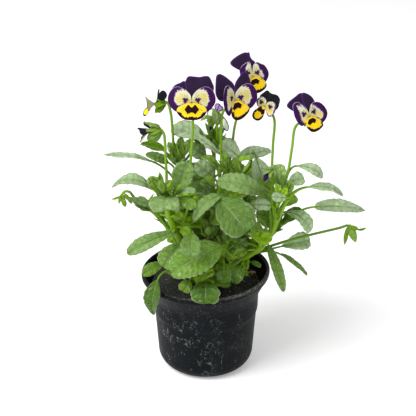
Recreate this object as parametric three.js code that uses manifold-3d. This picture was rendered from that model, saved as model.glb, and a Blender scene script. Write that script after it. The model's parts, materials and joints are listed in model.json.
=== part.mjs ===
// A viola in flower, growing in a round nursery pot of thin black plastic.
// Lengths are millimetres, +Z is up, and the origin is the middle of the pot's underside.
import * as THREE from 'three';
import { mergeVertices } from 'three/addons/utils/BufferGeometryUtils.js';
import Module from 'manifold-3d';

const wasm = await Module();
wasm.setup();

const clearance = 0.3; // gap between pieces that touch

// Lists of pairs are a radius and a height above the foot.
const pot = {
  height: 97, footRadius: 33, cornerRadius: 45.2, cornerHeight: 14, wall: 1.5, sides: 28,
  step: [[47.9, 55.5], [49.2, 57]],
  neck: [[49.6, 72], [51.2, 77.5], [54.2, 83], [57.5, 89]],
  lip: [[60, 92], [60, 95.5], [58.4, 97], [56.6, 96]],
  warp: 0.035, // the thin lip has sagged a little: it climbs this much per mm to the right
  drainHoles: 6, drainRadius: 4, drainCircle: 22,
};
const soil = {
  edgeHeight: 82, crownHeight: 88, sides: 22, rings: 4, lump: 1.2, seed: 7,
  shrunk: 0.5, // it has dried away from the wall by this much
  hole: 3.1, // radius of the hole that a stem stands in
};
const leaf = {
  thickness: 0.8, ridge: 0.5, tipRidge: 0.2, // the midrib stands this much higher than the edges
  valley: 0.88, // width between two teeth of the edge, as a share of the width at the teeth
  broadest: 0.85, fullness: 0.7, roundTip: 0.34,
  stalkHalf: 0.9, stalkThickness: 1.2, shortStalk: 16,
  stipule: 12, stipuleWidth: 4,
};
const petal = {
  thickness: 0.7, layer: 1.2, curl: 0.006,
  inner: { upper: 2.9, face: 1.3 }, // how far from the throat the petals start
  rows: [0, 0.55, 1], columns: [0, 0.25, 0.5, 0.75, 1], foldedColumns: [0, 0.5, 1],
};
// The star of sepals lies its layers behind the petals. Its cup is rings of radius and depth.
const sepals = { reach: 12, layer: -3.6, valley: 2.8, heart: 1.9, cup: [[2.4, 1.2], [1.3, 3.2]] };
const stalk = {
  stem: 2.1, stemSides: 5, stemSteps: 8,
  sunk: 9, upright: 6, // how deep the foot stands in the soil, and how far it rises straight up
  flower: 1.0, flowerSides: 4, flowerSteps: 10,
  hook: [[-5, -10], [1.5, -9], [1, -5], [0, -2]], // how it bends into the back of a bloom: up, out
};
// Each pair is a radius as a share of the bud's thickness and a height as a share of its length.
const budShape = [[0.3, 0], [0.48, 0.25], [0.42, 0.62], [0.12, 1]];
const green = { color: 0x6f9a4e, roughness: 0.6, metalness: 0 };
const straw = { color: 0x9a8a55, roughness: 0.9, metalness: 0 };
const violet = { color: 0x3b1a55, roughness: 0.7, metalness: 0 };
const cream = { color: 0xe8d36a, roughness: 0.7, metalness: 0 };
const blackPlastic = { color: 0x23272a, roughness: 0.55, metalness: 0 };
const compost = { color: 0x2a231d, roughness: 1, metalness: 0 };

// The plant is laid out as it is seen from the front and a little above. A place is how far
// across and down it lies in a square view 416 units wide, and how many millimetres it lies
// behind the pot's axis. One unit is 0.911 mm where the line of sight meets that axis.
const sight = {
  fall: THREE.MathUtils.degToRad(25.3), away: 1000, unit: 0.911, middle: 208,
  aim: new THREE.Vector3(2.2, 0, 159),
};

// Each stem stands at its foot in the soil, in millimetres, and follows its route. A leaf grows
// from the point "at" along the stem, from 0 to 1. Its blade runs from base to tip, and arch
// lifts its middle, in millimetres. Its face looks up, leaning by tilt degrees towards the front
// and by turn degrees to the right. Teeth are the rounded teeth of each edge.
const stems = {
  left_front: {
    foot: [-9, -9],
    route: [[180, 240, -18], [169, 216, -26], [165, 196, -30]],
    leaves: [
      {
        at: 0.97, base: [155, 191, -30], tip: [112, 187, -24],
        width: 13, arch: 12, tilt: 35, teeth: 3, stipules: true,
      },
      { at: 0.99, base: [161, 191, -33], tip: [150, 179, -32], width: 10, arch: 1, tilt: 50, teeth: 2 },
      { at: 0.97, base: [165, 197, -37], tip: [161, 212, -55], width: 28, arch: 4, tilt: 30, teeth: 4 },
      { at: 0.95, base: [177, 191, -33], tip: [187, 162, -30], width: 20, arch: -1, tilt: 70, teeth: 4 },
      { at: 0.93, base: [177, 194, -38], tip: [196, 191, -47], width: 11, arch: 2, tilt: 5, teeth: 2 },
      {
        at: 0.86, base: [179, 198, -38], tip: [195, 208, -50],
        width: 13, arch: 2, tilt: 40, teeth: 2, stipules: true,
      },
      { at: 0.45, base: [171, 233, -24], tip: [127, 254, -40], width: 13, arch: 4, tilt: 45, teeth: 3 },
      { at: 0.3, base: [191, 233, -46], tip: [191, 257, -64], width: 17, arch: 3, tilt: 50, teeth: 2 },
      { at: 0.3, base: [181, 244, -34], tip: [163, 267, -46], width: 21, arch: 2, tilt: 50, teeth: 3 },
      { at: 0.7, base: [187, 186, -14], tip: [213, 191, -18], width: 12, arch: 2, tilt: 40, teeth: 2 },
    ],
  },
  far_left: {
    foot: [-17, 4],
    route: [[172, 234, -3], [158, 216, -7], [145, 206, -10]],
    leaves: [
      { at: 0.97, base: [143, 204, -12], tip: [124, 200, -16], width: 9, arch: 3, tilt: 10, teeth: 2 },
      {
        at: 0.75, base: [151, 207, -10], tip: [139, 199, -4],
        width: 9, arch: 1, tilt: 60, teeth: 2, stipules: true,
      },
    ],
  },
  back_left: {
    foot: [-8, 14],
    route: [[186, 206, 22], [179, 172, 26], [178, 154, 27]],
    leaves: [
      {
        at: 0.6, base: [151, 161, 14], tip: [103, 155, 4],
        width: 14, arch: 3, tilt: -18, teeth: 3, stipules: true,
      },
      { at: 0.9, base: [165, 152, 20], tip: [142, 144, 12], width: 12, arch: 2, tilt: -60, teeth: 2 },
      { at: 0.75, base: [164, 166, 22], tip: [146, 154, 14], width: 12, arch: 2, tilt: 45, teeth: 2 },
      { at: 0.97, base: [183, 155, 22], tip: [191, 141, 16], width: 10, arch: 1, tilt: 70, teeth: 2 },
      { at: 0.99, base: [180, 153, 24], tip: [178, 139, 24], width: 7, arch: 0, tilt: 70, teeth: 2 },
      { at: 0.97, base: [175, 156, 22], tip: [169, 145, 18], width: 7, arch: 0, tilt: 70, teeth: 2 },
      { at: 0.8, base: [188, 166, 16], tip: [199, 174, 6], width: 13, arch: 2, tilt: 50, teeth: 2 },
      { at: 0.5, base: [176, 186, 12], tip: [168, 188, 0], width: 12, arch: 2, tilt: 50, teeth: 2 },
    ],
  },
  centre: {
    foot: [2, -2],
    route: [[209, 240, -6], [214, 212, -10], [221, 184, -10], [227, 168, -8]],
    leaves: [
      {
        at: 0.7, base: [226, 195, -32], tip: [193, 221, -48],
        width: 17, arch: 7, tilt: 50, teeth: 3, stipules: true,
      },
      { at: 0.6, base: [231, 199, -40], tip: [244, 233, -56], width: 32, arch: 4, tilt: 55, teeth: 5 },
      { at: 0.55, base: [225, 200, -30], tip: [213, 214, -42], width: 17, arch: 2, tilt: 55, teeth: 2 },
      { at: 0.93, base: [217, 153, -4], tip: [194, 134, 2], width: 12, arch: 2, tilt: -5, teeth: 2 },
      { at: 0.97, base: [237, 157, -2], tip: [224, 143, 4], width: 15, arch: 1, tilt: 50, teeth: 2 },
      { at: 0.98, base: [238, 166, -11], tip: [251, 158, -12], width: 10, arch: 2, tilt: -40, teeth: 2 },
      { at: 0.99, base: [226, 165, -13], tip: [223, 155, -15], width: 8, arch: 0, tilt: 70, teeth: 2 },
      { at: 0.85, base: [218, 172, -14], tip: [201, 157, -18], width: 11, arch: 4, tilt: -10, teeth: 2 },
      { at: 0.8, base: [214, 178, -4], tip: [197, 162, 0], width: 16, arch: 1, tilt: 50, teeth: 2 },
      { at: 0.3, base: [216, 228, -16], tip: [204, 236, -26], width: 13, arch: 2, tilt: 50, teeth: 2 },
    ],
  },
  front: {
    foot: [8, -15],
    route: [[221, 262, -24], [225, 250, -28], [226, 243, -29]],
    leaves: [
      { at: 0.97, base: [223, 246, -35], tip: [170, 273, -60], width: 31, arch: 4, tilt: 50, teeth: 5 },
      { at: 0.4, base: [224, 262, -38], tip: [224, 284, -48], width: 13, arch: 2, tilt: 60, teeth: 2 },
      { at: 0.5, base: [242, 264, -32], tip: [233, 283, -42], width: 13, arch: 2, tilt: 60, teeth: 2 },
      { at: 0.9, base: [232, 240, -33], tip: [246, 248, -42], width: 12, arch: 2, tilt: 50, teeth: 2 },
    ],
  },
  right: {
    foot: [13, -6],
    route: [[262, 246, -18], [274, 228, -20], [277, 207, -20], [282, 190, -20]],
    leaves: [
      { at: 0.6, base: [261, 193, -32], tip: [217, 181, -38], width: 19, arch: 10, tilt: 50, teeth: 4 },
      { at: 0.6, base: [258, 222, -28], tip: [256, 235, -34], width: 10, arch: 1, tilt: 60, teeth: 2 },
      { at: 0.5, base: [253, 234, -28], tip: [272, 239, -36], width: 10, arch: -2, tilt: 40, teeth: 2 },
      {
        at: 0.8, base: [272, 206, -28], tip: [253, 205, -38],
        width: 14, arch: 2, tilt: 50, teeth: 2, stipules: true,
      },
      { at: 0.88, base: [286, 197, -27], tip: [271, 195, -36], width: 10, arch: -2, tilt: 30, teeth: 2 },
      { at: 0.93, base: [279, 186, -26], tip: [275, 165, -25], width: 17, arch: 0, tilt: 70, teeth: 3 },
      { at: 0.97, base: [288, 183, -17], tip: [304, 178, -15], width: 13, arch: 1, tilt: 40, teeth: 2 },
      { at: 0.97, base: [285, 195, -27], tip: [291, 181, -26], width: 11, arch: 0, tilt: 70, teeth: 2 },
      { at: 0.99, base: [295, 170, -14], tip: [323, 177, -16], width: 12, arch: 10, tilt: 20, teeth: 2 },
      {
        at: 0.9, base: [308, 187, -16], tip: [343, 196, -12],
        width: 12, arch: 7, tilt: -12, teeth: 3, stipules: true,
      },
      { at: 0.35, base: [262, 236, -8], tip: [240, 222, -2], width: 14, arch: 2, tilt: 40, teeth: 2 },
    ],
  },
  right_low: {
    foot: [17, 6],
    route: [[252, 252, 3], [268, 238, 4], [284, 222, 4]],
    leaves: [
      { at: 0.98, base: [314, 207, 2], tip: [365, 211, 10], width: 14, arch: 5, tilt: 25, teeth: 4 },
      {
        at: 0.85, base: [284, 213, -6], tip: [311, 231, -16],
        width: 14, arch: 9, tilt: 30, teeth: 2, stipules: true,
      },
      { at: 0.45, base: [282, 247, -6], tip: [308, 240, -2], width: 15, arch: 1, tilt: 50, teeth: 2 },
      { at: 0.4, base: [270, 248, -10], tip: [284, 291, -18], width: 12, arch: 5, tilt: 50, teeth: 3 },
      { at: 0.35, base: [280, 254, 6], tip: [307, 274, 12], width: 10, arch: 3, tilt: -20, teeth: 2 },
      { at: 0.1, base: [250, 262, -6], tip: [261, 267, -12], width: 6, arch: 1, tilt: 30, teeth: 2 },
    ],
  },
  rosette: {
    foot: [-7, -20],
    route: [[193, 276, -28], [190, 271, -30]],
    leaves: [
      { at: 0.95, base: [165, 263, -22], tip: [142, 275, -26], width: 12, arch: 2, tilt: 40, teeth: 2 },
      {
        at: 0.9, base: [158, 279, -42], tip: [153, 315, -50],
        width: 18, arch: 4, tilt: 60, turn: -30, teeth: 3,
      },
      { at: 0.6, base: [206, 281, -46], tip: [205, 304, -66], width: 27, arch: 3, tilt: 50, teeth: 4 },
      { at: 0.8, base: [211, 269, -36], tip: [193, 278, -42], width: 17, arch: 1, tilt: 50, teeth: 2 },
      { at: 0.7, base: [190, 280, -42], tip: [183, 292, -50], width: 13, arch: 2, tilt: 60, teeth: 2 },
    ],
  },
  back_centre: {
    foot: [0, 19],
    route: [[210, 215, 28], [213, 180, 30], [214, 160, 28]],
    leaves: [
      { at: 0.95, base: [203, 139, 18], tip: [171, 128, 26], width: 21, arch: 3, tilt: 25, teeth: 4 },
      { at: 0.8, base: [207, 167, 42], tip: [196, 168, 68], width: 18, arch: 3, tilt: -20, teeth: 3 },
      { at: 0.7, base: [220, 172, 40], tip: [223, 166, 68], width: 17, arch: 3, tilt: -20, teeth: 2 },
      { at: 0.97, base: [216, 150, 24], tip: [224, 136, 30], width: 12, arch: 1, tilt: 30, teeth: 2 },
      { at: 0.5, base: [205, 195, 46], tip: [208, 190, 84], width: 22, arch: 4, tilt: -20, teeth: 4 },
    ],
  },
  back_right: {
    foot: [12, 17],
    route: [[234, 226, 26], [246, 196, 30], [250, 172, 28]],
    leaves: [
      { at: 0.97, base: [243, 153, 18], tip: [270, 151, 26], width: 16, arch: 5, tilt: -5, teeth: 2 },
      { at: 0.9, base: [256, 161, 12], tip: [265, 187, 4], width: 16, arch: 3, tilt: 60, teeth: 2 },
      { at: 0.8, base: [256, 178, 44], tip: [272, 182, 70], width: 20, arch: 3, tilt: -20, teeth: 3 },
      {
        at: 0.6, base: [252, 196, 46], tip: [262, 194, 84],
        width: 22, arch: 4, tilt: -25, teeth: 4, stipules: true,
      },
      { at: 0.4, base: [242, 216, 40], tip: [248, 218, 80], width: 20, arch: 6, tilt: -20, teeth: 3 },
    ],
  },
  far_back: {
    foot: [-14, 23],
    route: [[193, 226, 40], [187, 198, 46], [184, 176, 48]],
    leaves: [
      { at: 0.97, base: [182, 172, 56], tip: [181, 163, 84], width: 19, arch: 3, tilt: -20, teeth: 3 },
      { at: 0.8, base: [180, 188, 54], tip: [174, 186, 84], width: 20, arch: 3, tilt: -25, teeth: 3 },
      {
        at: 0.6, base: [182, 205, 44], tip: [170, 206, 66],
        width: 18, arch: 4, tilt: -10, teeth: 3, stipules: true,
      },
      { at: 0.5, base: [196, 210, 54], tip: [204, 212, 92], width: 22, arch: 5, tilt: -20, teeth: 4 },
    ],
  },
};

// A bloom's stalk leaves its stem at "from" and passes through the places of the stalk. The face
// of the bloom looks along turn, in degrees from the front to the right, and nod, in degrees
// above the level. Roll leans its top to the right, and fold closes its petals forwards.
const blooms = {
  front_left: {
    stem: 'left_front', from: 0.55, stalk: [[188, 205, -24], [190, 170, -22], [193, 126, -19]],
    throat: [191.7, 102.4, -33], turn: 0, nod: 14, roll: 0, size: 0.94, fold: 0,
    upper: [
      { layer: -2, outline: [[-82, 9], [-70, 19], [-54, 21.4], [-40, 20.5], [-29, 20]] },
      {
        layer: -1.2,
        outline: [
          [-21, 17], [-8, 23.1], [17, 23.3], [33, 27.4],
          [48, 25], [66, 20.5], [78, 8],
        ],
      },
    ],
  },
  front_right: {
    stem: 'centre', from: 0.75, stalk: [[221, 165, -6], [221, 135, -2], [223, 112, 2]],
    throat: [234.8, 100, -11], turn: 14, nod: 14, roll: 2, size: 0.98, fold: 0,
    upper: [
      {
        layer: -2,
        outline: [
          [-96, 9], [-78, 16], [-58, 19.5], [-34, 26],
          [-27, 26], [-14, 19], [-3, 14.5],
        ],
      },
      { layer: -1.2, outline: [[3, 13], [14, 20.6], [24, 26.1], [32, 26], [48, 21.6], [64, 18], [80, 8]] },
    ],
    face: [
      {
        layer: 0,
        outline: [
          [-12, 8], [-31, 16], [-44, 16.3], [-62, 14.2],
          [-96, 13.4], [-130, 14.5], [-148, 15.5],
        ],
      },
      { layer: 0.7, outline: [[-154, 15.5], [-168, 18], [-187, 18.4], [-208, 18], [-234, 16.5]] },
      {
        layer: 0,
        outline: [
          [-240, 17], [-266, 20.6], [-294, 21.6],
          [-317, 18.6], [-333, 12.8], [-352, 5],
        ],
      },
    ],
  },
  top: {
    stem: 'centre', from: 0.98, stalk: [[231, 155, 2], [235, 125, 16], [243, 100, 28]],
    throat: [252.7, 76.6, 24], turn: 10, nod: 14, roll: -18, size: 0.92, fold: 0,
    upper: [
      { layer: -2, outline: [[-47, 9], [-42, 22.5], [-36, 25.6], [-22, 25.4], [-9, 24.5]] },
      { layer: -1.2, outline: [[-3, 24], [4, 24.8], [13, 23.3], [20, 16.2], [40, 10]] },
    ],
    face: [
      { layer: 0, outline: [[8, 12], [-8, 14.7], [-41, 14.3], [-61, 12.4], [-100, 11], [-122, 8]] },
      {
        layer: 0.7,
        outline: [
          [-132, 10], [-147, 16.4], [-162, 17.2],
          [-190, 16.8], [-210, 14.5], [-226, 12],
        ],
      },
      { layer: 0, outline: [[-232, 14], [-257, 16.3], [-292, 16], [-308, 14.8], [-335, 11.4], [-348, 6]] },
    ],
  },
  small: {
    stem: 'right', from: 0.8, stalk: [[272, 175, -8], [273, 145, 2], [274, 118, 8]],
    throat: [265, 106, 0], turn: -20, nod: 8, roll: 22, size: 0.8, fold: 0,
    upper: [
      { layer: -2, outline: [[-72, 8], [-62, 12], [-44, 13.6], [-24, 16.4], [-14, 15.6]] },
      { layer: -1.2, outline: [[-8, 15.5], [8, 16.2], [34, 17.8], [50, 16.4], [79, 13.3], [92, 8]] },
    ],
    face: [
      { layer: 0, outline: [[-8, 5], [-30, 9], [-50, 11], [-75, 11.5], [-110, 10], [-134, 5.5]] },
      { layer: 0.7, outline: [[-142, 6], [-162, 14], [-178, 20], [-198, 21], [-214, 18]] },
      { layer: 0, outline: [[-222, 13], [-245, 13.2], [-280, 12.5], [-305, 12], [-325, 10], [-347, 6]] },
    ],
  },
  right: {
    stem: 'right', from: 0.99, stalk: [[288, 172, -14], [292, 148, -4], [296, 126, 8]],
    throat: [309.5, 116, -2], turn: 14, nod: 12, roll: -20, size: 0.9, fold: 0,
    upper: [
      { layer: -2, outline: [[-54, 9], [-48, 19], [-41, 23.7], [-28, 23.8], [-12, 23]] },
      { layer: -1.2, outline: [[-4, 22], [8, 23.2], [20, 21.2], [38, 17.4], [56, 12]] },
    ],
    face: [
      {
        layer: 0,
        outline: [
          [-2, 8], [-18, 18], [-30, 19.7], [-50, 17],
          [-72, 14.5], [-104, 13], [-124, 11],
        ],
      },
      { layer: 0.7, outline: [[-132, 12], [-145, 17.6], [-167, 17.6], [-190, 16.5], [-206, 14.4]] },
      {
        layer: 0,
        outline: [
          [-212, 15.5], [-228, 17.2], [-256, 19], [-283, 17.6],
          [-306, 15.6], [-329, 11.3], [-346, 6],
        ],
      },
    ],
  },
  side: {
    stem: 'back_left', from: 0.9, stalk: [[174, 150, 20], [172, 130, 14], [171, 112, 11]],
    throat: [156.5, 104, 10], turn: -66, nod: 26, roll: 0, size: 0.6, fold: 0.3,
  },
  nodding: {
    stem: 'left_front', from: 0.97, stalk: [[166, 180, -28], [165.5, 160, -26], [164, 140, -24]],
    throat: [147, 131, -24], turn: -84, nod: -14, roll: 0, size: 0.46, fold: 1.6,
  },
  away: {
    stem: 'back_centre', from: 0.95, stalk: [[218, 150, 16], [217, 135, 4], [216, 122, 0]],
    throat: [217, 114, 18], turn: 165, nod: -8, roll: 0, size: 0.8, fold: 0.3,
  },
};

// Closed buds, the withered one and the seed capsule hang in a calyx like a bloom's. Each is a
// pointed body, long and thick as given in millimetres.
const buds = {
  violet: {
    stem: 'right', from: 0.75, stalk: [[272, 196, -22], [270, 186, -28]], finish: violet,
    throat: [265.5, 176, -31], turn: -60, nod: -55, roll: 0, size: 0.36, fold: 1.5, long: 8, thick: 4.6,
  },
  dark: {
    stem: 'back_centre', from: 0.97, stalk: [[210, 140, 18], [206, 128, 16]], finish: violet,
    throat: [202, 123, 12], turn: -50, nod: -40, roll: 0, size: 0.3, fold: 1.5, long: 7, thick: 4,
  },
  withered: {
    stem: 'far_left', from: 0.99, stalk: [[134, 197, -10], [128, 192, -12]], finish: straw,
    throat: [121, 199, -14], turn: -40, nod: -70, roll: 0, size: 0.34, fold: 1.2, long: 8, thick: 3.4,
  },
  capsule: {
    stem: 'right_low', from: 0.5, stalk: [[290, 240, -16], [318, 233, -12], [342, 227, -8]], finish: green,
    throat: [354, 234, -8], turn: 60, nod: -60, roll: 0, size: 0.5, fold: 1.0, long: 11, thick: 6.6,
  },
};

// The petals of a full-sized bloom, in layers that lie one in front of the other. An outline
// gives headings, in degrees from the top of the bloom, and how far from the throat it reaches
// there. Petals of one colour hang together where one slips behind the next.
const upperPetals = [
  { layer: -2, outline: [[-82, 9], [-70, 19], [-54, 21.5], [-40, 20.5], [-28, 19]] },
  { layer: -1.2, outline: [[-19, 16], [-10, 21.5], [14, 24], [40, 23.5], [60, 20], [78, 8]] },
];
const facePetals = [
  { layer: 0, outline: [[-8, 5], [-27, 12.8], [-43, 18.6], [-66, 21.6], [-94, 20.6], [-120, 16.6]] },
  { layer: 0.7, outline: [[-126, 16], [-150, 16.8], [-180, 16], [-210, 16.8], [-234, 16]] },
  { layer: 0, outline: [[-240, 16.6], [-266, 20.6], [-294, 21.6], [-317, 18.6], [-333, 12.8], [-352, 5]] },
];

function place([across, down, behind]) {
  const forward = new THREE.Vector3(0, Math.cos(sight.fall), -Math.sin(sight.fall));
  const up = new THREE.Vector3(0, Math.sin(sight.fall), Math.cos(sight.fall));
  const eye = sight.aim.clone().addScaledVector(forward, -sight.away);
  const ray = forward.clone()
    .addScaledVector(new THREE.Vector3(1, 0, 0), (across - sight.middle) * sight.unit / sight.away)
    .addScaledVector(up, (sight.middle - down) * sight.unit / sight.away);
  return eye.addScaledVector(ray, (behind - eye.y) / ray.y);
}

function seeded(seed) {
  let state = seed;
  return () => {
    state = (state * 16807) % 2147483647;
    return state / 2147483647;
  };
}

// A closed three.js geometry as a solid that can be joined and cut, and back again.
function solidOf(geometry) {
  const bare = geometry.clone();
  bare.deleteAttribute('normal');
  bare.deleteAttribute('uv');
  const merged = mergeVertices(bare, 1e-4);
  const corners = merged.index.array;
  const kept = [];
  for (let k = 0; k < corners.length; k += 3) {
    const [a, b, c] = corners.slice(k, k + 3);
    if (a !== b && b !== c && c !== a) kept.push(a, b, c);
  }
  return new wasm.Manifold(new wasm.Mesh({
    numProp: 3,
    vertProperties: new Float32Array(merged.attributes.position.array),
    triVerts: new Uint32Array(kept),
  }));
}

function meshOf(name, solid, finish) {
  const { vertProperties, triVerts } = solid.getMesh();
  const geometry = new THREE.BufferGeometry();
  geometry.setAttribute('position', new THREE.BufferAttribute(new Float32Array(vertProperties), 3));
  geometry.setIndex(new THREE.BufferAttribute(new Uint32Array(triVerts), 1));
  geometry.computeVertexNormals();
  const mesh = new THREE.Mesh(geometry, new THREE.MeshStandardMaterial(finish));
  mesh.name = name;
  return mesh;
}

function joined(solids) {
  return solids.reduce((whole, next) => whole.add(next));
}

// A closed body from its corners and triangles, turned right side out.
function closedBody(corners, triangles) {
  let volume = 0;
  for (let k = 0; k < triangles.length; k += 3) {
    const [a, b, c] = [0, 1, 2].map((step) => corners[triangles[k + step]]);
    volume += a.dot(b.clone().cross(c));
  }
  const geometry = new THREE.BufferGeometry();
  const positions = corners.flatMap((corner) => corner.toArray());
  geometry.setAttribute('position', new THREE.Float32BufferAttribute(positions, 3));
  geometry.setIndex(volume < 0 ? triangles.reverse() : triangles);
  return solidOf(geometry);
}

// A body through a row of rings that have the same number of corners, with flat ends.
function loft(rings) {
  const count = rings[0].length;
  const triangles = [];
  for (let j = 0; j + 1 < rings.length; j += 1) {
    for (let k = 0; k < count; k += 1) {
      const [a, b] = [j * count + k, j * count + (k + 1) % count];
      triangles.push(a, b, b + count, a, b + count, a + count);
    }
  }
  const last = (rings.length - 1) * count;
  for (let k = 1; k + 1 < count; k += 1) {
    triangles.push(0, k + 1, k, last, last + k, last + k + 1);
  }
  return closedBody(rings.flat(), triangles);
}

// A thin plate over a grid of places: at(i, j) gives a point of its middle and the normal there.
function plate(columns, rows, thickness, at) {
  const corners = [1, -1].flatMap((side) => {
    const layer = [];
    for (let j = 0; j <= rows; j += 1) {
      for (let i = 0; i <= columns; i += 1) {
        const { point, normal } = at(i, j);
        layer.push(point.clone().addScaledVector(normal, side * thickness / 2));
      }
    }
    return layer;
  });
  const under = corners.length / 2;
  const id = (i, j) => j * (columns + 1) + i;
  const triangles = [];
  const quad = (a, b, c, d) => triangles.push(a, b, c, a, c, d);
  for (let j = 0; j < rows; j += 1) {
    for (let i = 0; i < columns; i += 1) {
      const square = [id(i, j), id(i + 1, j), id(i + 1, j + 1), id(i, j + 1)];
      const [a, b, c, d] = i < columns / 2 ? square : [...square.slice(1), square[0]];
      triangles.push(a, b, c, a, c, d, under + a, under + c, under + b, under + a, under + d, under + c);
    }
  }
  for (let i = 0; i < columns; i += 1) {
    quad(id(i, 0), under + id(i, 0), under + id(i + 1, 0), id(i + 1, 0));
    quad(id(i + 1, rows), under + id(i + 1, rows), under + id(i, rows), id(i, rows));
  }
  for (let j = 0; j < rows; j += 1) {
    quad(id(0, j + 1), under + id(0, j + 1), under + id(0, j), id(0, j));
    quad(id(columns, j), under + id(columns, j), under + id(columns, j + 1), id(columns, j + 1));
  }
  return closedBody(corners, triangles);
}

// A round stalk of few sides along a smooth curve through the points.
function tube(points, radius, sides, steps) {
  const section = new THREE.Shape();
  for (let k = 0; k < sides; k += 1) {
    const angle = 2 * Math.PI * k / sides;
    const [x, y] = [radius * Math.cos(angle), radius * Math.sin(angle)];
    if (k === 0) section.moveTo(x, y);
    else section.lineTo(x, y);
  }
  section.closePath();
  const extrudePath = new THREE.CatmullRomCurve3(points, false, 'centripetal');
  return solidOf(new THREE.ExtrudeGeometry(section, { steps, bevelEnabled: false, extrudePath }));
}

function facing(tilt, turn) {
  const [lean, yaw] = [tilt, turn].map(THREE.MathUtils.degToRad);
  return new THREE.Vector3(
    Math.sin(yaw), -Math.sin(lean) * Math.cos(yaw), Math.cos(lean) * Math.cos(yaw));
}

// The five corners of a leaf's section: two on each edge and one on the midrib.
function leafSection(point, across, normal, half, thickness, ridge) {
  const corner = (side, lift) => point.clone()
    .addScaledVector(across, side * half)
    .addScaledVector(normal, lift);
  return [
    corner(-1, thickness / 2), corner(0, thickness / 2 + ridge), corner(1, thickness / 2),
    corner(1, -thickness / 2), corner(-1, -thickness / 2),
  ];
}

// Half the width of a leaf at u along it, as a share of its widest: broadest near the middle.
function leafOutline(u) {
  const swell = Math.sin(Math.PI * Math.min(1, u) ** leaf.broadest);
  return u < 0.5 ? swell ** leaf.fullness : Math.max(leaf.roundTip, swell ** leaf.fullness);
}

// A leaf with its stalk, which leaves the stem at "at" and runs into the blade in one piece.
function leafBody(stemCurve, { at, base, tip, width, arch, tilt, turn = 0, teeth }) {
  const start = place(base);
  const along = place(tip).sub(start);
  const length = along.length();
  along.normalize();
  const normal = facing(tilt, turn);
  normal.addScaledVector(along, -normal.dot(along)).normalize();
  const across = along.clone().cross(normal);

  const root = stemCurve.getPointAt(at);
  const reach = root.distanceTo(start);
  const arrival = along.clone().addScaledVector(normal, 4 * arch / length).normalize();
  const stalkCurve = new THREE.CubicBezierCurve3(
    root,
    root.clone().lerp(start, 0.2).addScaledVector(stemCurve.getTangentAt(at), 0.2 * reach),
    start.clone().addScaledVector(arrival, -0.4 * reach),
    start,
  );
  const stops = reach > leaf.shortStalk ? [0, 0.35, 0.7] : [0, 0.5];
  const turnedBack = (direction) => new THREE.Quaternion().setFromUnitVectors(arrival, direction);
  const stalkRings = stops.map((t) => {
    const back = turnedBack(stalkCurve.getTangent(t));
    const [side, lift] = [across, normal].map((axis) => axis.clone().applyQuaternion(back));
    return leafSection(stalkCurve.getPoint(t), side, lift, leaf.stalkHalf, leaf.stalkThickness, leaf.ridge);
  });

  const rows = 2 * teeth;
  const bladeRings = [];
  for (let j = 0; j <= rows; j += 1) {
    const u = (j / rows) ** 0.9;
    const scallop = j % 2 === 0 ? leaf.valley : 1;
    const half = Math.max(leaf.stalkHalf, width / 2 * leafOutline(u) * scallop);
    const slope = arch * 4 * (1 - 2 * u) / length;
    const lift = normal.clone().addScaledVector(along, -slope).normalize();
    const point = start.clone()
      .addScaledVector(along, length * u)
      .addScaledVector(normal, arch * 4 * u * (1 - u));
    const ridge = j === rows ? leaf.tipRidge : leaf.ridge;
    bladeRings.push(leafSection(point, across, lift, half, leaf.thickness, ridge));
  }
  return loft([...stalkRings, ...bladeRings]);
}

// A small leafy flap with a three-cornered section, broadest in its middle.
function stipule(from, to, normal) {
  const along = to.clone().sub(from);
  const across = along.clone().cross(normal).normalize();
  return loft([0.45, 1, 0.2].map((share, j) => {
    const point = from.clone().addScaledVector(along, j / 2);
    return [[-1, 0], [1, 0], [0, 1]].map(([side, lift]) => point.clone()
      .addScaledVector(across, side * share * leaf.stipuleWidth / 2)
      .addScaledVector(normal, lift * leaf.stalkThickness));
  }));
}

function stipules(stemCurve, { at, base }) {
  const root = stemCurve.getPointAt(at);
  const rising = stemCurve.getTangentAt(at);
  const outward = place(base).sub(root).normalize();
  const sideways = rising.clone().cross(outward).normalize();
  return [-1, 1].map((side) => {
    const heading = outward.clone().multiplyScalar(0.45).addScaledVector(rising, 0.65)
      .addScaledVector(sideways, 0.55 * side).normalize();
    const normal = rising.clone().addScaledVector(heading, -rising.dot(heading)).normalize();
    return stipule(root, root.clone().addScaledVector(heading, leaf.stipule), normal);
  });
}

function stemCurveOf({ foot, route }) {
  const [x, y] = foot;
  const points = [-stalk.sunk, -stalk.sunk / 2, 0, stalk.upright]
    .map((above) => new THREE.Vector3(x, y, soil.crownHeight + above));
  return new THREE.CatmullRomCurve3([...points, ...route.map(place)], false, 'centripetal');
}

// The frame of a bloom: X to its right, Y to its top, Z out of its face, origin at the throat.
function bloomFrame({ throat, turn, nod, roll, size }) {
  const [yaw, lift, lean] = [turn, nod, roll].map(THREE.MathUtils.degToRad);
  const out = new THREE.Vector3(
    Math.sin(yaw) * Math.cos(lift), -Math.cos(yaw) * Math.cos(lift), Math.sin(lift));
  const up = new THREE.Vector3(0, 0, 1).addScaledVector(out, -out.z).normalize();
  up.applyAxisAngle(out, -lean);
  const right = up.clone().cross(out);
  const frame = new THREE.Matrix4().makeBasis(right, up, out);
  frame.scale(new THREE.Vector3(size, size, size));
  return frame.setPosition(place(throat));
}

// The columns of a group of petals: the heading, reach and layer of each line out of the throat.
function petalLines(group, shares) {
  return group.flatMap(({ outline, layer }) => shares.map((share) => {
    const [from, to] = [outline[0][0], outline[outline.length - 1][0]];
    const heading = THREE.MathUtils.lerp(from, to, share);
    const side = Math.sign(to - from);
    const k = Math.max(1, outline.findIndex(([next]) => (next - heading) * side >= 0));
    const [[before, low], [after, high]] = [outline[k - 1], outline[k]];
    const reach = THREE.MathUtils.mapLinear(heading, before, after, low, high);
    return { heading, reach, layer };
  }));
}

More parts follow.
